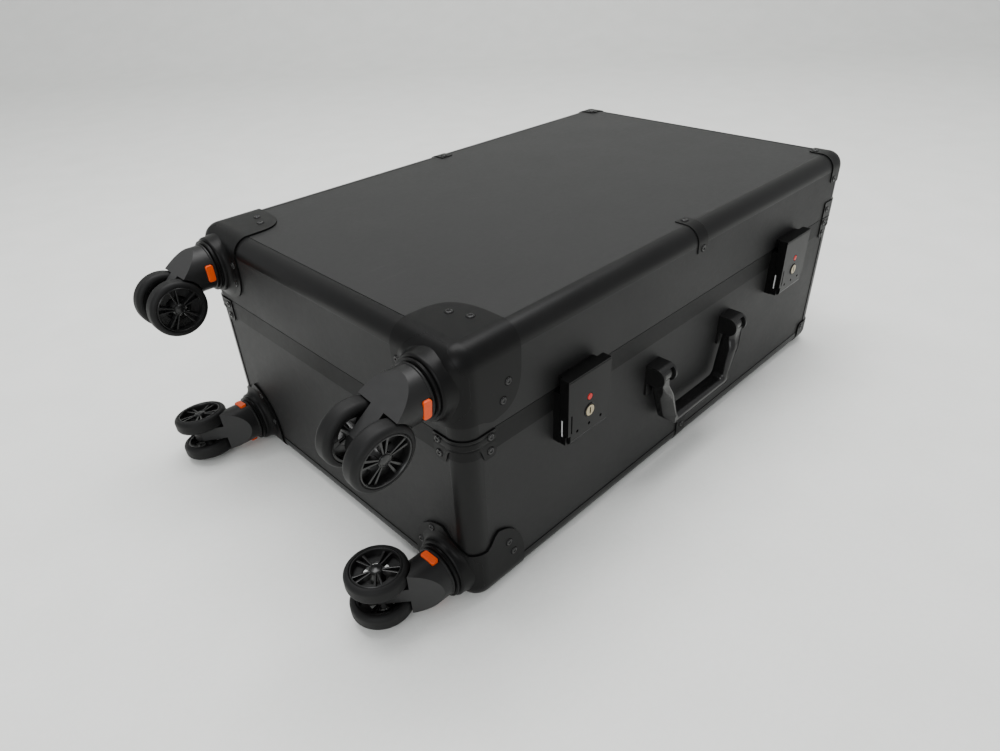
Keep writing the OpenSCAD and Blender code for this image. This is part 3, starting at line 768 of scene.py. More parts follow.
@dataclass
class SeamBand:
    """The pressed band round a post under the seam, with an ear on each wall for its rivets."""

    case: CaseSize
    end: int
    side: int
    proud: float = 1.2 * MM
    reach: float = 36 * MM
    ear: float = 27 * MM
    band: float = 13 * MM

    def _drop(self, distance: float) -> float:
        """How deep the band is, at a distance from the post's corner along a wall."""
        grown = self.band + (self.ear - self.band) * smoothstep((distance - 17 * MM) / (6 * MM))
        left = max(0.0, self.reach - distance)
        round_off = 5 * MM
        if left < round_off:
            grown -= round_off - math.sqrt(round_off ** 2 - (round_off - left) ** 2)
        return grown

    def _columns(self) -> list[tuple[float, float, Vector, float]]:
        """Each column: its plan point, its outward direction and its depth."""
        edge = self.case.edge
        far = self.reach - edge
        found = []
        for f in ramp(15):
            along = far * (1 - f)
            found.append((0.0, -along, Vector((1, 0, 0)), self._drop(edge + along)))
        for turn in ramp(15, 0, math.pi / 2)[1:-1]:
            found.append((0.0, 0.0, Vector((math.cos(turn), math.sin(turn), 0)), self.band))
        for f in ramp(15):
            along = far * f
            found.append((-along, 0.0, Vector((0, 1, 0)), self._drop(edge + along)))
        return found

    def _lift(self, depth: float) -> float:
        """Height of the band's face at a depth under the seam: two pressed lines."""
        line = 0.0
        for middle in (3.2 * MM, 10.2 * MM):
            line = max(line, 1 - abs(depth - middle) / (1.1 * MM))
        return self.proud - 0.55 * MM * max(0.0, line)

    def build(self) -> bpy.types.Object:
        """Makes the band as a closed pressed sheet."""
        edge, top = self.case.edge, self.case.seam - 0.5 * MM
        rows = 26
        verts: list[Vector] = []
        columns = self._columns()
        corner = Vector((self.case.half_l - edge, self.case.half_w - edge, 0))
        for x, y, out, drop in columns:
            for k in range(rows):
                depth = drop * k / (rows - 1)
                spot = corner + Vector((x, y, 0)) + out * (edge + self._lift(depth))
                verts.append(Vector((self.end * spot.x, self.side * spot.y, top - depth)))
        faces = [(c * rows + r, (c + 1) * rows + r, (c + 1) * rows + r + 1, c * rows + r + 1)
                 for c in range(len(columns) - 1) for r in range(rows - 1)]
        sheet = mesh_object(f"band_{self.end}_{self.side}", verts, faces)
        turned_outwards(sheet, Vector((0, 0, self.case.seam)))
        solid = sheet.modifiers.new("wall", "SOLIDIFY")
        solid.thickness = 1.0 * MM
        solid.offset = -1
        applied(sheet)
        return smooth(sheet, 50)


@dataclass
class CasterBoss:
    """The boss on a wheel corner that a caster turns in, with a foot that flows into the cover."""

    case: CaseSize
    centre: Vector
    low: float
    proud: float = 1.9 * MM
    height: float = 14 * MM
    radius: float = 30 * MM
    foot: float = 38 * MM
    steps: int = 96

    def _depth(self, y: float, z: float) -> float | None:
        """How far the cover's surface lies below the end wall at a place, if it is there."""
        ball = self.case.edge + self.proud
        over_y = max(0.0, abs(y) - self.case.half_w + self.case.edge)
        over_z = max(0.0, z - self.case.height + self.case.edge, self.low + ball - z)
        left = ball * ball - over_y * over_y - over_z * over_z
        if left < (0.30 * ball) ** 2:
            return None
        return math.sqrt(left) - self.case.edge

    def _foot_of(self, turn: float) -> Point2:
        """Where the foot meets the cover in one direction, as a radius and a height."""
        for reach in ramp(24, self.foot, self.radius - 2 * MM):
            depth = self._depth(self.centre.y + reach * math.sin(turn),
                                self.centre.z + reach * math.cos(turn))
            if depth is not None:
                return reach, depth
        return self.radius - 2 * MM, 0.0

    def build(self, name: str) -> bpy.types.Object:
        """Makes the boss with its flared foot, stepped ring and open bore."""
        h, r = self.height, self.radius
        upper = [(r - 2.2 * MM * (1 - math.cos(t)), h * 0.55 + 2.6 * MM * math.sin(t))
                 for t in ramp(5, 0.3, math.pi / 2)]
        upper += [(r - 3.6 * MM, h * 0.55 + 2.8 * MM), (r - 3.8 * MM, h - 2.4 * MM),
                  (r - 2.6 * MM, h - 1.9 * MM), (r - 2.4 * MM, h - 0.5 * MM),
                  (r - 3.0 * MM, h), (r - 8 * MM, h), (r - 8.6 * MM, h - 0.8 * MM),
                  (9 * MM, h - 0.8 * MM), (8.1 * MM, h - 1.4 * MM), (8.1 * MM, -1 * MM)]
        verts, rows = [], 0
        for i in range(self.steps):
            turn = 2 * math.pi * i / self.steps
            far, low = self._foot_of(turn)
            profile = [(far, low - 1.0 * MM)]
            for t in ramp(9):
                bend = (1 - t) ** 2, 2 * t * (1 - t), t * t
                profile.append((bend[0] * far + (bend[1] + bend[2]) * r,
                                bend[0] * low + bend[1] * (low + 1.2 * MM) + bend[2] * h * 0.55))
            profile += upper
            rows = len(profile)
            verts += [Vector((self.centre.x - z, self.centre.y + q * math.sin(turn),
                              self.centre.z + q * math.cos(turn))) for q, z in profile]
        faces = [(i * rows + k, (i + 1) % self.steps * rows + k,
                  (i + 1) % self.steps * rows + (k + 1) % rows, i * rows + (k + 1) % rows)
                 for i in range(self.steps) for k in range(rows)]
        return smooth(mesh_object(name, verts, faces), 40)


class Shell:
    """Panels, rails, posts, seam frames, covers and rivets of both halves."""

    corner_nodes = {Half.BASE: "base_wheel_corners", Half.LID: "lid_wheel_corners"}
    plain_nodes = {Half.BASE: "base_corner_plates", Half.LID: "lid_corner_plates"}

    def __init__(self, finishes: Finishes, case: CaseSize) -> None:
        """Keeps the finishes and the sizes.

        Args:
            finishes: The materials.
            case: The case's main sizes.
        """
        self.finishes = finishes
        self.case = case

    def panels(self) -> None:
        """Panels: flat laminate with a broken edge."""
        rows = (("back_panel", "base", "side_laminate", "panel"),
                ("base_long_walls", "base", "side_laminate", "panel"),
                ("base_end_walls", "base", "side_laminate", "panel"),
                # The top panel takes the lighter laminate: painted light from above.
                ("lid_panel", "lid", "lid_laminate_painted_lighter", "lid_panel"),
                ("lid_long_walls", "lid", "side_laminate", "panel"),
                ("lid_end_walls", "lid", "side_laminate", "panel"))
        for node, body, finish, slot in rows:
            piece = softened(node + "_laminate", node, 0.12 * MM, 2)
            placed(dressed(piece, self.finishes[finish]), body, slot, node)

    def extrusions(self) -> None:
        """Rails, posts and seam frames: coated extrusions."""
        rows = (("base_edge_rails", "base"), ("base_corner_posts", "base"),
                ("base_seam_frame", "base"), ("lid_edge_rails", "lid"),
                ("lid_corner_posts", "lid"), ("lid_seam_frame", "lid"))
        for node, body in rows:
            piece = softened(node + "_coated", node, 0.25 * MM, 2)
            finish = "seam_extrusion" if "seam" in node else "coated_extrusion"
            placed(dressed(piece, self.finishes[finish]), body, "extrusion", node)

    def covers(self) -> None:
        """Moulded wheel corners and plain corner covers."""
        for half in Half:
            parts = [self._wheel_corner(half, side) for side in (-1, 1)]
            node = self.corner_nodes[half]
            piece = dressed(joined(node + "_moulded", parts), self.finishes["corner_moulding"])
            placed(piece, half.value, "corner", node)
            plain = [self._plain_corner(half, side) for side in (-1, 1)]
            node = self.plain_nodes[half]
            piece = dressed(joined(node + "_moulded", plain), self.finishes["corner_moulding"])
            placed(piece, half.value, "corner", node)

    def _wheel_corner(self, half: Half, side: int) -> bpy.types.Object:
        """One wheel corner with its boss."""
        lid = half is Half.LID
        cover = CornerCover(self.case, half, -1, side, 1.8 * MM,
                            reach_l=(68 if lid else 65.5) * MM, reach_w=(80 if lid else 81.5) * MM,
                            drop_l=(56 if lid else 58) * MM, drop_w=(56 if lid else 63) * MM,
                            drop_post=(50 if lid else 42) * MM, power=3.4 if lid else 2.5)
        shell = cover.build(f"cover_{half.value}_{side}")
        centre = Vector((-self.case.half_l, side * 178 * MM, (241 if lid else 35) * MM))
        low = -self.case.height if lid else 0.0
        boss = CasterBoss(self.case, centre, low).build(f"boss_{half.value}_{side}")
        return joined(f"corner_{half.value}_{side}", [shell, boss])

    def _plain_corner(self, half: Half, side: int) -> bpy.types.Object:
        """One thin cover at the end away from the wheels."""
        drop = (17 if half is Half.LID else 15.5) * MM
        cover = CornerCover(self.case, half, 1, side, 1.2 * MM, 36 * MM, 36 * MM, drop, drop, drop,
                            power=6.0, thick=2.0 * MM)
        return cover.build(f"plain_{half.value}_{side}")

    def plates(self) -> None:
        """Seam corner plates and mid-edge straps."""
        bands = [SeamBand(self.case, end, side).build() for end in (-1, 1) for side in (-1, 1)]
        piece = dressed(joined("base_seam_plates_pressed", bands), self.finishes["corner_moulding"])
        placed(piece, "base", "corner", "base_seam_plates")
        rows = (("lid_seam_plates", "lid"), ("base_straps", "base"), ("lid_straps", "lid"))
        for node, body in rows:
            piece = softened(node + "_pressed", node, 0.35 * MM, 3)
            placed(dressed(piece, self.finishes["corner_moulding"]), body, "corner", node)

    def rivets(self) -> None:
        """Rivet heads with a painted shadow ring round each foot, stood where the frame's rivets
        are.
        """
        for node, body in (("base_rivets", "base"), ("lid_rivets", "lid")):
            heads = Scatter(node + "_heads", rivet_template(), self.finishes["rivet_black"])
            # Near-black rings round the rivets' feet are painted shadow.
            shadow_rings = Scatter(node + "_feet", self._shadow_ring_template(), self.finishes["rivet_shadow"])
            for centre, facing in self._rivet_places(node):
                heads.add(centre, facing)
                shadow_rings.add(centre, facing)
            piece = joined(node + "_pressed", [heads.build(), shadow_rings.build()])
            placed(piece, body, "rivet", node)

    @staticmethod
    def _shadow_ring_template() -> bpy.types.Object:
        """A thin near-black ring round a rivet's foot: painted shadow where the head meets the
        wall.
        """
        return lathe("rivet_foot", [(3.4 * MM, 0.0), (3.4 * MM, 0.12 * MM), (4.15 * MM, 0.12 * MM),
                                    (4.35 * MM, 0.0)], Matrix.Identity(4), 20)

    def _rivet_places(self, node: str) -> list[tuple[Vector, Vector]]:
        """The foot and facing of each rivet of a node, from its loose solids."""
        work = bmesh.new()
        work.from_mesh(frame["nodes"][node].data)
        bmesh.ops.remove_doubles(work, verts=work.verts, dist=1e-6)
        seen: set[bmesh.types.BMVert] = set()
        found = []
        for start in work.verts:
            if start in seen:
                continue
            island, queue = [], [start]
            seen.add(start)
            while queue:
                vert = queue.pop()
                island.append(vert.co.copy())
                for edge in vert.link_edges:
                    other = edge.other_vert(vert)
                    if other not in seen:
                        seen.add(other)
                        queue.append(other)
            low = Vector(min(v[i] for v in island) for i in range(3))
            high = Vector(max(v[i] for v in island) for i in range(3))
            middle = (low + high) / 2
            thin = min(range(3), key=lambda i: high[i] - low[i])
            facing = Vector((0, 0, 0))
            facing[thin] = 1 if thin == 2 or middle[thin] > 0 else -1
            foot = middle.copy()
            foot[thin] = low[thin] if facing[thin] > 0 else high[thin]
            found.append((foot, facing))
        work.free()
        return found

    def build(self) -> None:
        """Builds every piece of the shell."""
        self.panels()
        self.extrusions()
        self.covers()
        self.plates()
        self.rivets()


# ---------------------------------------------------------------------------------------------
# Casters
# ---------------------------------------------------------------------------------------------


# Rise of the fork's slanted back over its run along the trail
BACK_SLOPE = 1.169


@dataclass
class Caster:
    """One twin-wheel swivel caster, built in its own frame: z away from the case, x the trail."""

    name: str
    finishes: Finishes
    wheel_r: float = 30.2 * MM
    inner: float = 9 * MM
    outer: float = 26 * MM
    rim_r: float = 24 * MM

    def __post_init__(self) -> None:
        """Reads the swivel and axle from the frame's joints."""
        joints = {j["name"]: j for j in frame["joints"]}
        swivel, roll = joints[self.name + "_swivel"], joints[self.name + "_roll"]
        z = Vector(swivel["axis"]).normalized()
        y = Vector(roll["axis"]).normalized()
        x = y.cross(z)
        turned = Matrix((x, y, z)).transposed().to_4x4()
        self.place = Matrix.Translation(swivel["pos_m"]) @ turned
        axle = self.place.inverted() @ Vector(roll["pos_m"])
        self.trail, self.drop = axle.x, axle.z
        self.axle = self.place @ Matrix.Translation((self.trail, 0, self.drop)) @ Matrix.Rotation(
            -math.pi / 2, 4, "X")

    def fork(self) -> None:
        """The swivel body: collar with button windows, neck and hub cheeks."""
        body = self.name + "_caster"
        main = softened(self.name + "_neck", self.name + "_fork", 1.1 * MM, 4)
        dressed(main, self.finishes["caster_nylon"])
        # The second material, a lighter grey, goes on the fork's flat slanted back: painted sheen.
        main.data.materials.append(self.finishes["fork_painted_sheen"])
        back = (self.place.to_3x3() @ Vector((-BACK_SLOPE, 0, 1))).normalized()
        for face in main.data.polygons:
            face.material_index = 1 if face.normal.dot(back) > 0.995 else 0
        collar = lathe(self.name + "_collar", [
            (21 * MM, 0.5 * MM), (24.6 * MM, 0.5 * MM), (25 * MM, 1.0 * MM), (25 * MM, 2.2 * MM),
            (24.2 * MM, 2.8 * MM), (21 * MM, 2.8 * MM)], self.place, 72)
        hubs = []
        for side in (-1, 1):
            face = 7.7 * MM
            profile = [(0, face - 1 * MM), (12.5 * MM, face - 1 * MM), (12.5 * MM, face + 0.1 * MM),
                       (11.8 * MM, face + 0.7 * MM), (0, face + 0.7 * MM)]
            flip = Matrix.Rotation(0 if side > 0 else math.pi, 4, "X")
            hubs.append(lathe(f"{self.name}_hub_{side}", profile, self.axle @ flip, 48))
        for part in (collar, *hubs):
            dressed(part, self.finishes["caster_nylon"])
        piece = joined(self.name + "_swivel_body", [main, collar, *hubs])
        placed(piece, body, "caster_body", self.name + "_fork")

    def wheels(self) -> None:
        """Both wheels: rims with paired spokes, hub caps and tyres."""
        body = self.name + "_wheel_pair"
        rims, tyres = [], []
        for side in (-1, 1):
            flip = Matrix.Rotation(0 if side > 0 else math.pi, 4, "X")
            place = self.axle @ flip
            rims += self._rim(side, place)
            tyres.append(self._tyre(side, place))
        piece = joined(self.name + "_rims", rims)
        placed(piece, body, "rim", self.name + "_wheels")
        rubber = dressed(joined(self.name + "_tyre_pair", tyres), self.finishes["tyre_rubber"])
        placed(rubber, body, "tyre", self.name + "_tyres")

    def _rim(self, side: int, place: Matrix) -> list[bpy.types.Object]:
        """One rim, as ring, dished web, spokes and hub cap."""
        tag = f"{self.name}_{side}"
        inner, outer, r = self.inner, self.outer, self.rim_r
        ring = lathe(tag + "_ring", [
            (r, inner + 1 * MM), (r, outer - 0.6 * MM), (r - 0.6 * MM, outer),
            (r - 1.2 * MM, outer), (r - 1.7 * MM, outer - 0.8 * MM),
            (r - 2.2 * MM, outer - 3.4 * MM), (r - 2.2 * MM, inner + 4 * MM),
            (r - 2.0 * MM, inner + 1 * MM)], place, 72)
        hub = lathe(tag + "_hub", [
            (0, inner), (6.4 * MM, inner), (6.8 * MM, inner + 0.5 * MM),
            (6.8 * MM, outer - 3.6 * MM), (6.2 * MM, outer - 2.4 * MM), (0, outer - 2.4 * MM)],
            place, 48)
        cap = lathe(tag + "_cap", [
            (0, outer - 3 * MM), (5.6 * MM, outer - 3 * MM), (5.6 * MM, outer - 1.9 * MM),
            (5.1 * MM, outer - 1.2 * MM), (4.2 * MM, outer - 0.9 * MM),
            (3.9 * MM, outer - 1.3 * MM), (1.8 * MM, outer - 0.7 * MM), (0, outer - 0.5 * MM)],
            place, 48)
        web = lathe(tag + "_web", [
            (13.2 * MM, outer - 9 * MM), (r - 1.8 * MM, outer - 9 * MM),
            (r - 1.8 * MM, outer - 7.6 * MM), (13.6 * MM, outer - 7.6 * MM),
            (13.2 * MM, outer - 8 * MM)], place, 72)
        for part in (ring, hub, cap, web):
            dressed(part, self.finishes["rim_moulding"])
        spokes = Scatter(tag + "_spokes", self._spoke(), self.finishes["rim_moulding"])
        facing = (place.to_3x3() @ Vector((0, 0, 1))).normalized()
        middle = place @ Vector((0, 0, outer - 3.2 * MM))
        start = self._spin_of(place, facing)
        for pair in range(5):
            for lean in (-1, 1):
                spokes.add(middle, facing, start + math.radians(72 * pair + 9.5 * lean))
        return [ring, hub, cap, web, spokes.build()]

    @staticmethod
    def _spin_of(place: Matrix, facing: Vector) -> float:
        """The fixed turn of the first spoke, a little different on every wheel."""
        return 0.35 + 0.2 * place.translation.y + 0.1 * facing.z

    def _spoke(self) -> bpy.types.Object:
        """One slim spoke along local X, wider at the rim, standing below z 0."""
        near, far = 5.4 * MM, self.rim_r - 1.5 * MM
        outline = [(near, -0.75 * MM), (far, -1.35 * MM), (far, 1.35 * MM), (near, 0.75 * MM)]
        spoke = extruded("spoke", outline, -6 * MM, 0.8 * MM, Matrix.Identity(4))
        return rounded(spoke, 0.5 * MM, 2, 30)

    def _tyre(self, side: int, place: Matrix) -> bpy.types.Object:
        """One tyre with round shoulders and a moulded line on its wall."""
        inner, outer, r = self.inner, self.outer, self.wheel_r
        shoulder = 5.2 * MM
        profile = [(self.rim_r, inner + 0.6 * MM), (self.rim_r + 0.7 * MM, inner)]
        profile += [(r - shoulder + shoulder * math.sin(t), inner + shoulder * (1 - math.cos(t)))
                    for t in ramp(9, 0, math.pi / 2)]
        profile += [(r - shoulder + shoulder * math.cos(t), outer - shoulder * (1 - math.sin(t)))
                    for t in ramp(9, 0, math.pi / 2)]
        profile += [(r - shoulder - 0.2 * MM, outer - 0.45 * MM), (self.rim_r + 0.5 * MM, outer),
                    (self.rim_r, outer - 0.5 * MM)]
        return lathe(f"{self.name}_{side}_tyre", profile, place, 80)

    def buttons(self) -> None:
        """The two release buttons: rounded caps that stand in the collar's windows."""
        for tag in ("a", "b"):
            node = f"{self.name}_button_{tag}"
            inverse = self.place.inverted()
            corners = [inverse @ v.co for v in frame["nodes"][node].data.vertices]
            low, high = ([pick(v[i] for v in corners) for i in range(3)] for pick in (min, max))
            cap = self._pill(f"{self.name}_release_{tag}_cap", low, high)
            placed(dressed(cap, self.finishes["release_orange"]), f"{self.name}_release_{tag}",
                   "release_button", node)

    def _pill(self, name: str, low: Sequence[float], high: Sequence[float]) -> bpy.types.Object:
        """A block with well rounded corners in front and a soft front edge."""
        middle = [(a + b) / 2 for a, b in zip(low, high)]
        half = [(b - a) / 2 for a, b in zip(low, high)]
        corner, outline = 2.4 * MM, []
        for cx, cz, first in ((1, 1, 0), (-1, 1, 90), (-1, -1, 180), (1, -1, 270)):
            for turn in ramp(7, math.radians(first), math.radians(first + 90)):
                outline.append((cx * (half[0] - corner) + corner * math.cos(turn),
                                cz * (half[2] - corner) + corner * math.sin(turn)))
        stand = self.place @ Matrix.Translation((middle[0], middle[1], middle[2])) \
            @ Matrix.Rotation(math.pi / 2, 4, "X")
        pill = extruded(name, outline, -half[1], half[1], stand)
        return rounded(pill, 0.7 * MM, 3, 60)

    def build(self) -> None:
        """Builds the whole caster."""
        self.fork()
        self.wheels()
        self.buttons()


# ---------------------------------------------------------------------------------------------
# Latches, handle, telescopic handle, hinges and inside
# ---------------------------------------------------------------------------------------------


# Distance of each latch from the middle of the case
LATCH_X = 200 * MM


@dataclass
class Latch:
    """A side latch's flap, lock barrel and small details; its base is built with the other
    fittings.
    """

    tag: str
    x: float
    finishes: Finishes
    front: float = -229.7 * MM
    lock_z: float = 164 * MM
    mark_z: float = 179 * MM

    def build(self) -> None:
        """Builds the flap and the barrel of this latch."""
        body = "latch_" + self.tag
        flap = softened(f"flap_{self.tag}", "latch_flap_" + self.tag, 0.7 * MM, 3)
        dressed(flap, self.finishes["latch_black"])
        out = Matrix.Translation((self.x, self.front, self.lock_z)) @ Matrix.Rotation(
            math.pi / 2, 4, "X")
        ring = lathe(f"lock_ring_{self.tag}", [
            (5.8 * MM, -1 * MM), (7.4 * MM, -1 * MM), (7.4 * MM, 0.3 * MM), (6.9 * MM, 0.7 * MM),
            (6.2 * MM, 0.7 * MM), (5.8 * MM, 0.3 * MM)], out, 48)
        dressed(ring, self.finishes["latch_black"])
        mark = self._disc("mark", self.mark_z, 3.2 * MM, "red_mark", 0.35 * MM)
        face = self._face_plate()
        # A bright part shows in the side slit; its near-white colour is painted glint.
        slit = block(f"slit_{self.tag}", (self.x - 30.05 * MM, -223 * MM, 146 * MM),
                     (self.x - 29.7 * MM, -221.6 * MM, 164 * MM))
        dressed(rounded(slit, 0.1 * MM, 1), self.finishes["slit_painted_glint"])
        piece = joined(f"flap_{self.tag}_body", [flap, ring, mark, face, slit])
        placed(piece, body, "latch", "latch_flap_" + self.tag)
        plug = softened(f"lock_{self.tag}_barrel", "lock_plug_" + self.tag, 0.25 * MM, 2)
        placed(dressed(plug, self.finishes["lock_brass"]), "lock_" + self.tag, "lock",
               "lock_plug_" + self.tag)

    def _disc(self, label: str, z: float, radius: float, finish: str,
              rise: float) -> bpy.types.Object:
        """A small round detail on the flap's face."""
        place = Matrix.Translation((self.x, self.front, z)) @ Matrix.Rotation(math.pi / 2, 4, "X")
        disc = lathe(f"{label}_{self.tag}", [
            (0, -1.2 * MM), (radius, -1.2 * MM), (radius, rise * 0.5), (radius * 0.9, rise),
            (0, rise * 1.15)], place, 40)
        return dressed(disc, self.finishes[finish])

    def _face_plate(self) -> bpy.types.Object:
        """The raised line along the top of the flap's face."""
        half, top, deep = 29.2 * MM, 206.5 * MM, 0.8 * MM
        bar = block(f"face_{self.tag}", (self.x - half, self.front - 0.35 * MM, top - deep),
                    (self.x + half, self.front + 1 * MM, top))
        return dressed(rounded(bar, 0.15 * MM, 1), self.finishes["latch_black"])


@dataclass(frozen=True)
class CarryHandle:
    """The moulded drop handle: one section swept down an arm, along the grip and up again."""

    pivot_y: float = -224.5 * MM
    pivot_z: float = 138 * MM
    arm_out: float = 80.6 * MM
    arm_in: float = 63.4 * MM
    barrel_r: float = 8 * MM
    pin_r: float = 2.56 * MM
    front: float = 12.5 * MM
    drop: float = 68 * MM
    grip: float = 7 * MM
    lean: float = 19.7

    def _rails(self) -> list[tuple[Point2, Point2, float]]:
        """Outer and inner points, in X and height under the pivots, and the leaf's share."""
        bend, low = 14 * MM, self.drop - 14 * MM
        out_x, in_x = 50 * MM, 44 * MM
        turn = math.radians(self.lean)
        out_end = (out_x + bend * math.cos(turn), -low - bend * math.sin(turn))
        in_end = (50.8 * MM, -low - 1.7 * MM)
        rails = [((self.arm_out, -4 * MM), (self.arm_in, -4 * MM), 0.0)]
        for f in ramp(11):
            out_bow, in_bow = 0.5 * MM * math.sin(math.pi * f), 0.8 * MM * math.sin(math.pi * f)
            rails.append(((self.arm_out + (out_end[0] - self.arm_out) * f + out_bow * 0.6,
                           -10 * MM + (out_end[1] + 10 * MM) * f),
                          (62.6 * MM + (in_end[0] - 62.6 * MM) * f - in_bow,
                           -14 * MM + (in_end[1] + 14 * MM) * f), smoothstep(f / 0.45)))
        for f in ramp(10)[1:]:
            out_turn = math.radians(-self.lean + (self.lean - 90) * f)
            in_turn = math.radians(-14 - 76 * f)
            rails.append(((out_x + bend * math.cos(out_turn), -low + bend * math.sin(out_turn)),
                          (in_x + self.grip * math.cos(in_turn),
                           -low + (bend - self.grip) * math.sin(in_turn)),
                          1 - smoothstep(f / 0.7)))
        for f in ramp(7)[1:]:
            rails.append(((out_x * (1 - f), -self.drop), (in_x * (1 - f), -self.drop + self.grip),
                          0.0))
        return rails

    def _section(self, deep: float, front: float, back: float, leaf: float) -> list[Point2]:
        """Points round the section: distance from its inner side, and place across the wall."""
        cut, run = 7.5 * MM * leaf, 11.5 * MM * leaf
        soft_front = min(7 * MM, deep - 2.4 * MM - cut)
        soft_back, tail = min(4.5 * MM, deep - 2.6 * MM), 2.5 * MM
        points = []
        for turn in ramp(8, 0, math.pi / 2):
            points.append((deep - tail + tail * math.cos(turn),
                           back - tail + tail * math.sin(turn)))
        for turn in ramp(8, math.pi / 2, math.pi):
            points.append((soft_back + soft_back * math.cos(turn),
                           back - 4.5 * MM + 4.5 * MM * math.sin(turn)))
        flat = front + 0.8 * MM
        for turn in ramp(9, math.pi, 1.5 * math.pi):
            points.append((soft_front + soft_front * math.cos(turn),
                           flat + 6 * MM + 6 * MM * math.sin(turn)))
        ridge = deep - 0.55 * MM - cut
        points += [(ridge - 1.15 * MM, flat), (ridge - 0.7 * MM, flat - 0.35 * MM),
                   (ridge - 0.4 * MM, front + 0.1 * MM), (ridge, front)]
        for f in ramp(7)[1:]:
            bulge = math.sin(math.pi * f) * (0.15 * MM + 0.5 * MM * leaf)
            points.append((min(deep, ridge + (deep - ridge) * f + bulge),
                           front + (0.6 * MM + run) * f))
        return points

    def build(self) -> bpy.types.Object:
        """Sweeps the section and adds the two pivot barrels."""
        half = self._rails()
        rails = half + [((-o[0], o[1]), (-i[0], i[1]), k) for o, i, k in reversed(half[:-1])]
        verts, count = [], 0
        for out, inn, leaf in rails:
            outer, inner = Vector((out[0], 0, out[1])), Vector((inn[0], 0, inn[1]))
            across = (outer - inner).normalized()
            height = (outer.z + inner.z) / 2
            grow = smoothstep((-height / MM - 12) / 16)
            front = -self.barrel_r - (self.front - self.barrel_r) * grow
            back = self.barrel_r
            section = self._section((outer - inner).length, front, back, leaf)
            count = len(section)
            for deep, place in section:
                spot = inner + across * deep
                verts.append(Vector((spot.x, self.pivot_y + place, self.pivot_z + spot.z)))
        faces = [(r * count + k, (r + 1) * count + k, (r + 1) * count + (k + 1) % count,
                  r * count + (k + 1) % count)
                 for r in range(len(rails) - 1) for k in range(count)]
        faces += [tuple(range(count)), tuple(range((len(rails) - 1) * count, len(rails) * count))]
        parts = [smooth(mesh_object("handle_bow", verts, faces), 40)]
        wide = (self.arm_out - self.arm_in) / 2
        for side in (-1, 1):
            place = Matrix.Translation((side * (self.arm_in + wide), self.pivot_y, self.pivot_z)) \
                @ Matrix.Rotation(math.pi / 2, 4, "Y")
            parts.append(lathe(f"handle_barrel_{side}", [
                (self.pin_r, -wide), (self.barrel_r - 0.6 * MM, -wide),
                (self.barrel_r, -wide + 0.6 * MM), (self.barrel_r, wide - 0.6 * MM),
                (self.barrel_r - 0.6 * MM, wide), (self.pin_r, wide)], place, 48))
        return joined("carry_handle_finished", parts)


class Fittings:
    """Latch bases, keepers, carry handle, hinges and telescopic handle."""

    def __init__(self, finishes: Finishes) -> None:
        """Keeps the finishes."""
        self.finishes = finishes

    def simple(self) -> None:
        """Pieces whose frame shape is right and only needs broken edges and a finish."""
        rows = (("latch_bases", "base", "latch_black", "latch", 0.5),
                ("latch_keepers", "lid", "latch_black", "latch", 0.5),
                ("hinge_base_leaves", "base", "black_steel", "hinge", 0.2),
                ("hinge_lid_leaves", "lid", "black_steel", "hinge", 0.2),
                ("handle_boots", "base", "boot_black", "handle_boot", 0.8),
                ("trolley_cup", "base", "corner_moulding", "trolley_plastic", 0.5),
                ("trolley_outer_tubes", "base", "tube_aluminium", "tube", 0.4),
                ("trolley_inner_tubes", "trolley", "tube_aluminium", "tube", 0.6),
                ("trolley_grip", "trolley", "handle_black", "trolley_plastic", 1.6),
                ("trolley_button", "trolley_release", "button_grey", "trolley_button", 0.8))
        for node, body, finish, slot, edge in rows:
            piece = softened(node + "_finished", node, edge * MM, 3)
            placed(dressed(piece, self.finishes[finish]), body, slot, node)

    def build(self) -> None:
        """Builds every fitting."""
        self.simple()
        handle = dressed(CarryHandle().build(), self.finishes["handle_black"])
        placed(handle, "handle", "handle", "carry_handle")
        for tag, x in (("wheel_end", -LATCH_X), ("grip_end", LATCH_X)):
            Latch(tag, x, self.finishes).build()


class Inside:
    """The cloth linings of both halves."""

    def __init__(self, finishes: Finishes) -> None:
        """Keeps the finishes."""
        self.finishes = finishes

    def build(self) -> None:
        """Gives both linings soft edges and cloth."""
        for half in ("base", "lid"):
            piece = softened(half + "_lining_cloth", half + "_lining", 0.5 * MM, 2)
            placed(dressed(piece, self.finishes["lining_cloth"]), half, "lining", half + "_lining")


# ---------------------------------------------------------------------------------------------
# Studio
# ---------------------------------------------------------------------------------------------


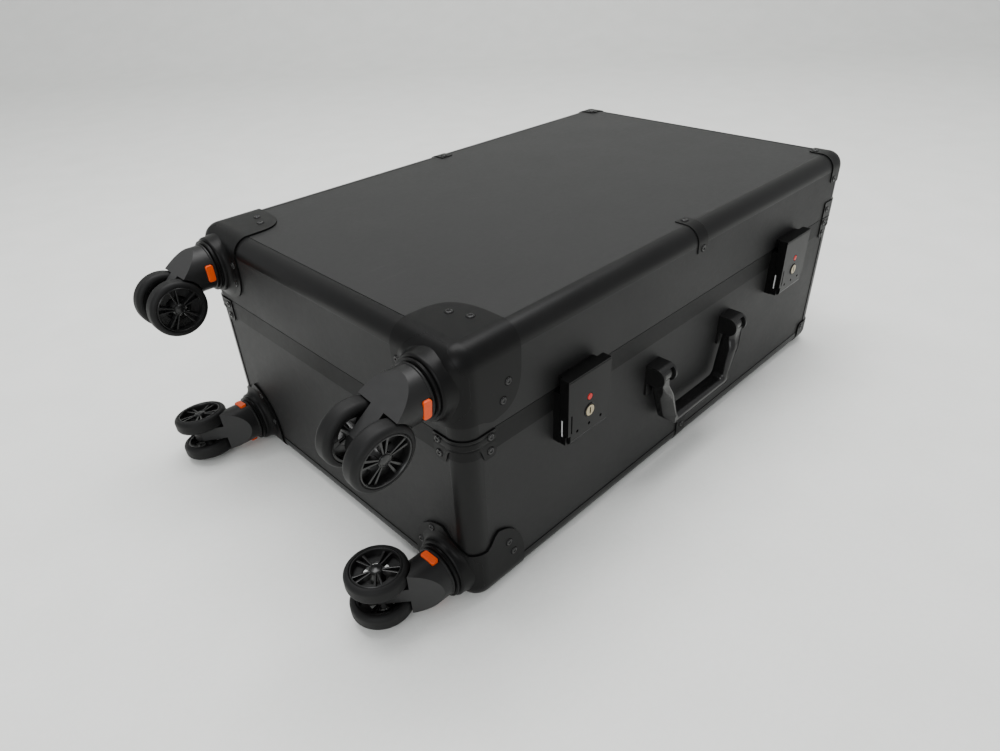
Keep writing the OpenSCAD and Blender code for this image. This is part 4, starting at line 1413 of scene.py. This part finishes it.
@dataclass
class Studio:
    """Camera, floor and lights."""

    position: Point = (-0.6170, -0.5515, 0.5483)
    forward: Point = (0.57522453, 0.60604982, -0.54938179)
    right: Point = (0.70731661, -0.70586989, -0.03809092)
    lens: float = 25.28

    def camera(self) -> None:
        """Places the camera."""
        data = bpy.data.cameras.new("camera")
        data.sensor_width = 36.0
        data.lens = self.lens
        data.clip_start, data.clip_end = 0.01, 50.0
        ahead = Vector(self.forward).normalized()
        across = Vector(self.right).normalized()
        up = across.cross(ahead)
        turned = Matrix((across, up, -ahead)).transposed().to_4x4()
        made = bpy.data.objects.new("camera", data)
        made.matrix_world = Matrix.Translation(self.position) @ turned
        bpy.context.scene.collection.objects.link(made)
        bpy.context.scene.camera = made

    def floor(self) -> None:
        """A pale floor that sweeps up behind the case."""
        wide, back, radius = 6.0, 2.4, 0.8
        path = [(-3.0, 0.0)] + [(back + radius * math.sin(t), radius * (1 - math.cos(t)))
                                for t in ramp(16, 0, math.pi / 2)] + [(back + radius, 4.0)]
        turn = Matrix.Rotation(math.radians(-45), 4, "Z")
        verts = [turn @ Vector((x, y, z)) for x in (-wide, wide) for y, z in path]
        count = len(path)
        faces = [(i, i + 1, count + i + 1, count + i) for i in range(count - 1)]
        sweep = mesh_object("floor_sweep", verts, faces)
        pale = Finish("pale_floor", (0.82, 0.83, 0.80, 1), (0.88, 0.885, 0.86, 1), (0.7, 0.85),
                      Grain.SPARK, 3.0, 0.15)
        smooth(dressed(sweep, pale.material()))

    def light(self, name: str, place: Point, aim: Point, size: Point2, power: float,
              colour: Point = (1.0, 1.0, 1.0)) -> None:
        """Adds one soft area light.

        Args:
            name: Its name.
            place: Where it stands.
            aim: The point it faces.
            size: Width and height.
            power: In watts.
            colour: Light colour.
        """
        data = bpy.data.lights.new(name, "AREA")
        data.shape = "RECTANGLE"
        data.size, data.size_y = size
        data.energy = power
        data.color = colour
        made = bpy.data.objects.new(name, data)
        made.location = place
        made.rotation_euler = (Vector(aim) - Vector(place)).to_track_quat("-Z", "Y").to_euler()
        bpy.context.scene.collection.objects.link(made)

    def lights(self) -> None:
        """Soft light from above, a window side and a pale surround."""
        world = bpy.data.worlds.new("surround")
        world.use_nodes = True
        graph = NodeGraph(world.node_tree)
        back = graph.add("ShaderNodeBackground", None, Color=(0.98, 0.99, 1.0, 1.0), Strength=0.72)
        out = graph.add("ShaderNodeOutputWorld")
        graph.tree.links.new(back.outputs[0], out.inputs[0])
        bpy.context.scene.world = world
        self.light("ceiling", (0.2, 0.3, 2.4), (0, 0, 0), (2.4, 1.2), 74)
        self.light("window", (-2.2, -1.2, 1.6), (0, 0, 0.1), (1.4, 1.4), 22, (0.97, 0.99, 1.0))

    def build(self) -> None:
        """Sets up the whole studio."""
        self.camera()
        self.floor()
        self.lights()


def main() -> None:
    """Builds the case and its studio."""
    finishes = Finishes()
    case = CaseSize.measured()
    Studio().build()
    Shell(finishes, case).build()
    for name in ("lid_left", "lid_right", "base_left", "base_right"):
        Caster(name, finishes).build()
    Fittings(finishes).build()
    Inside(finishes).build()
    bpy.context.view_layer.update()


if __name__ == "__main__":
    main()
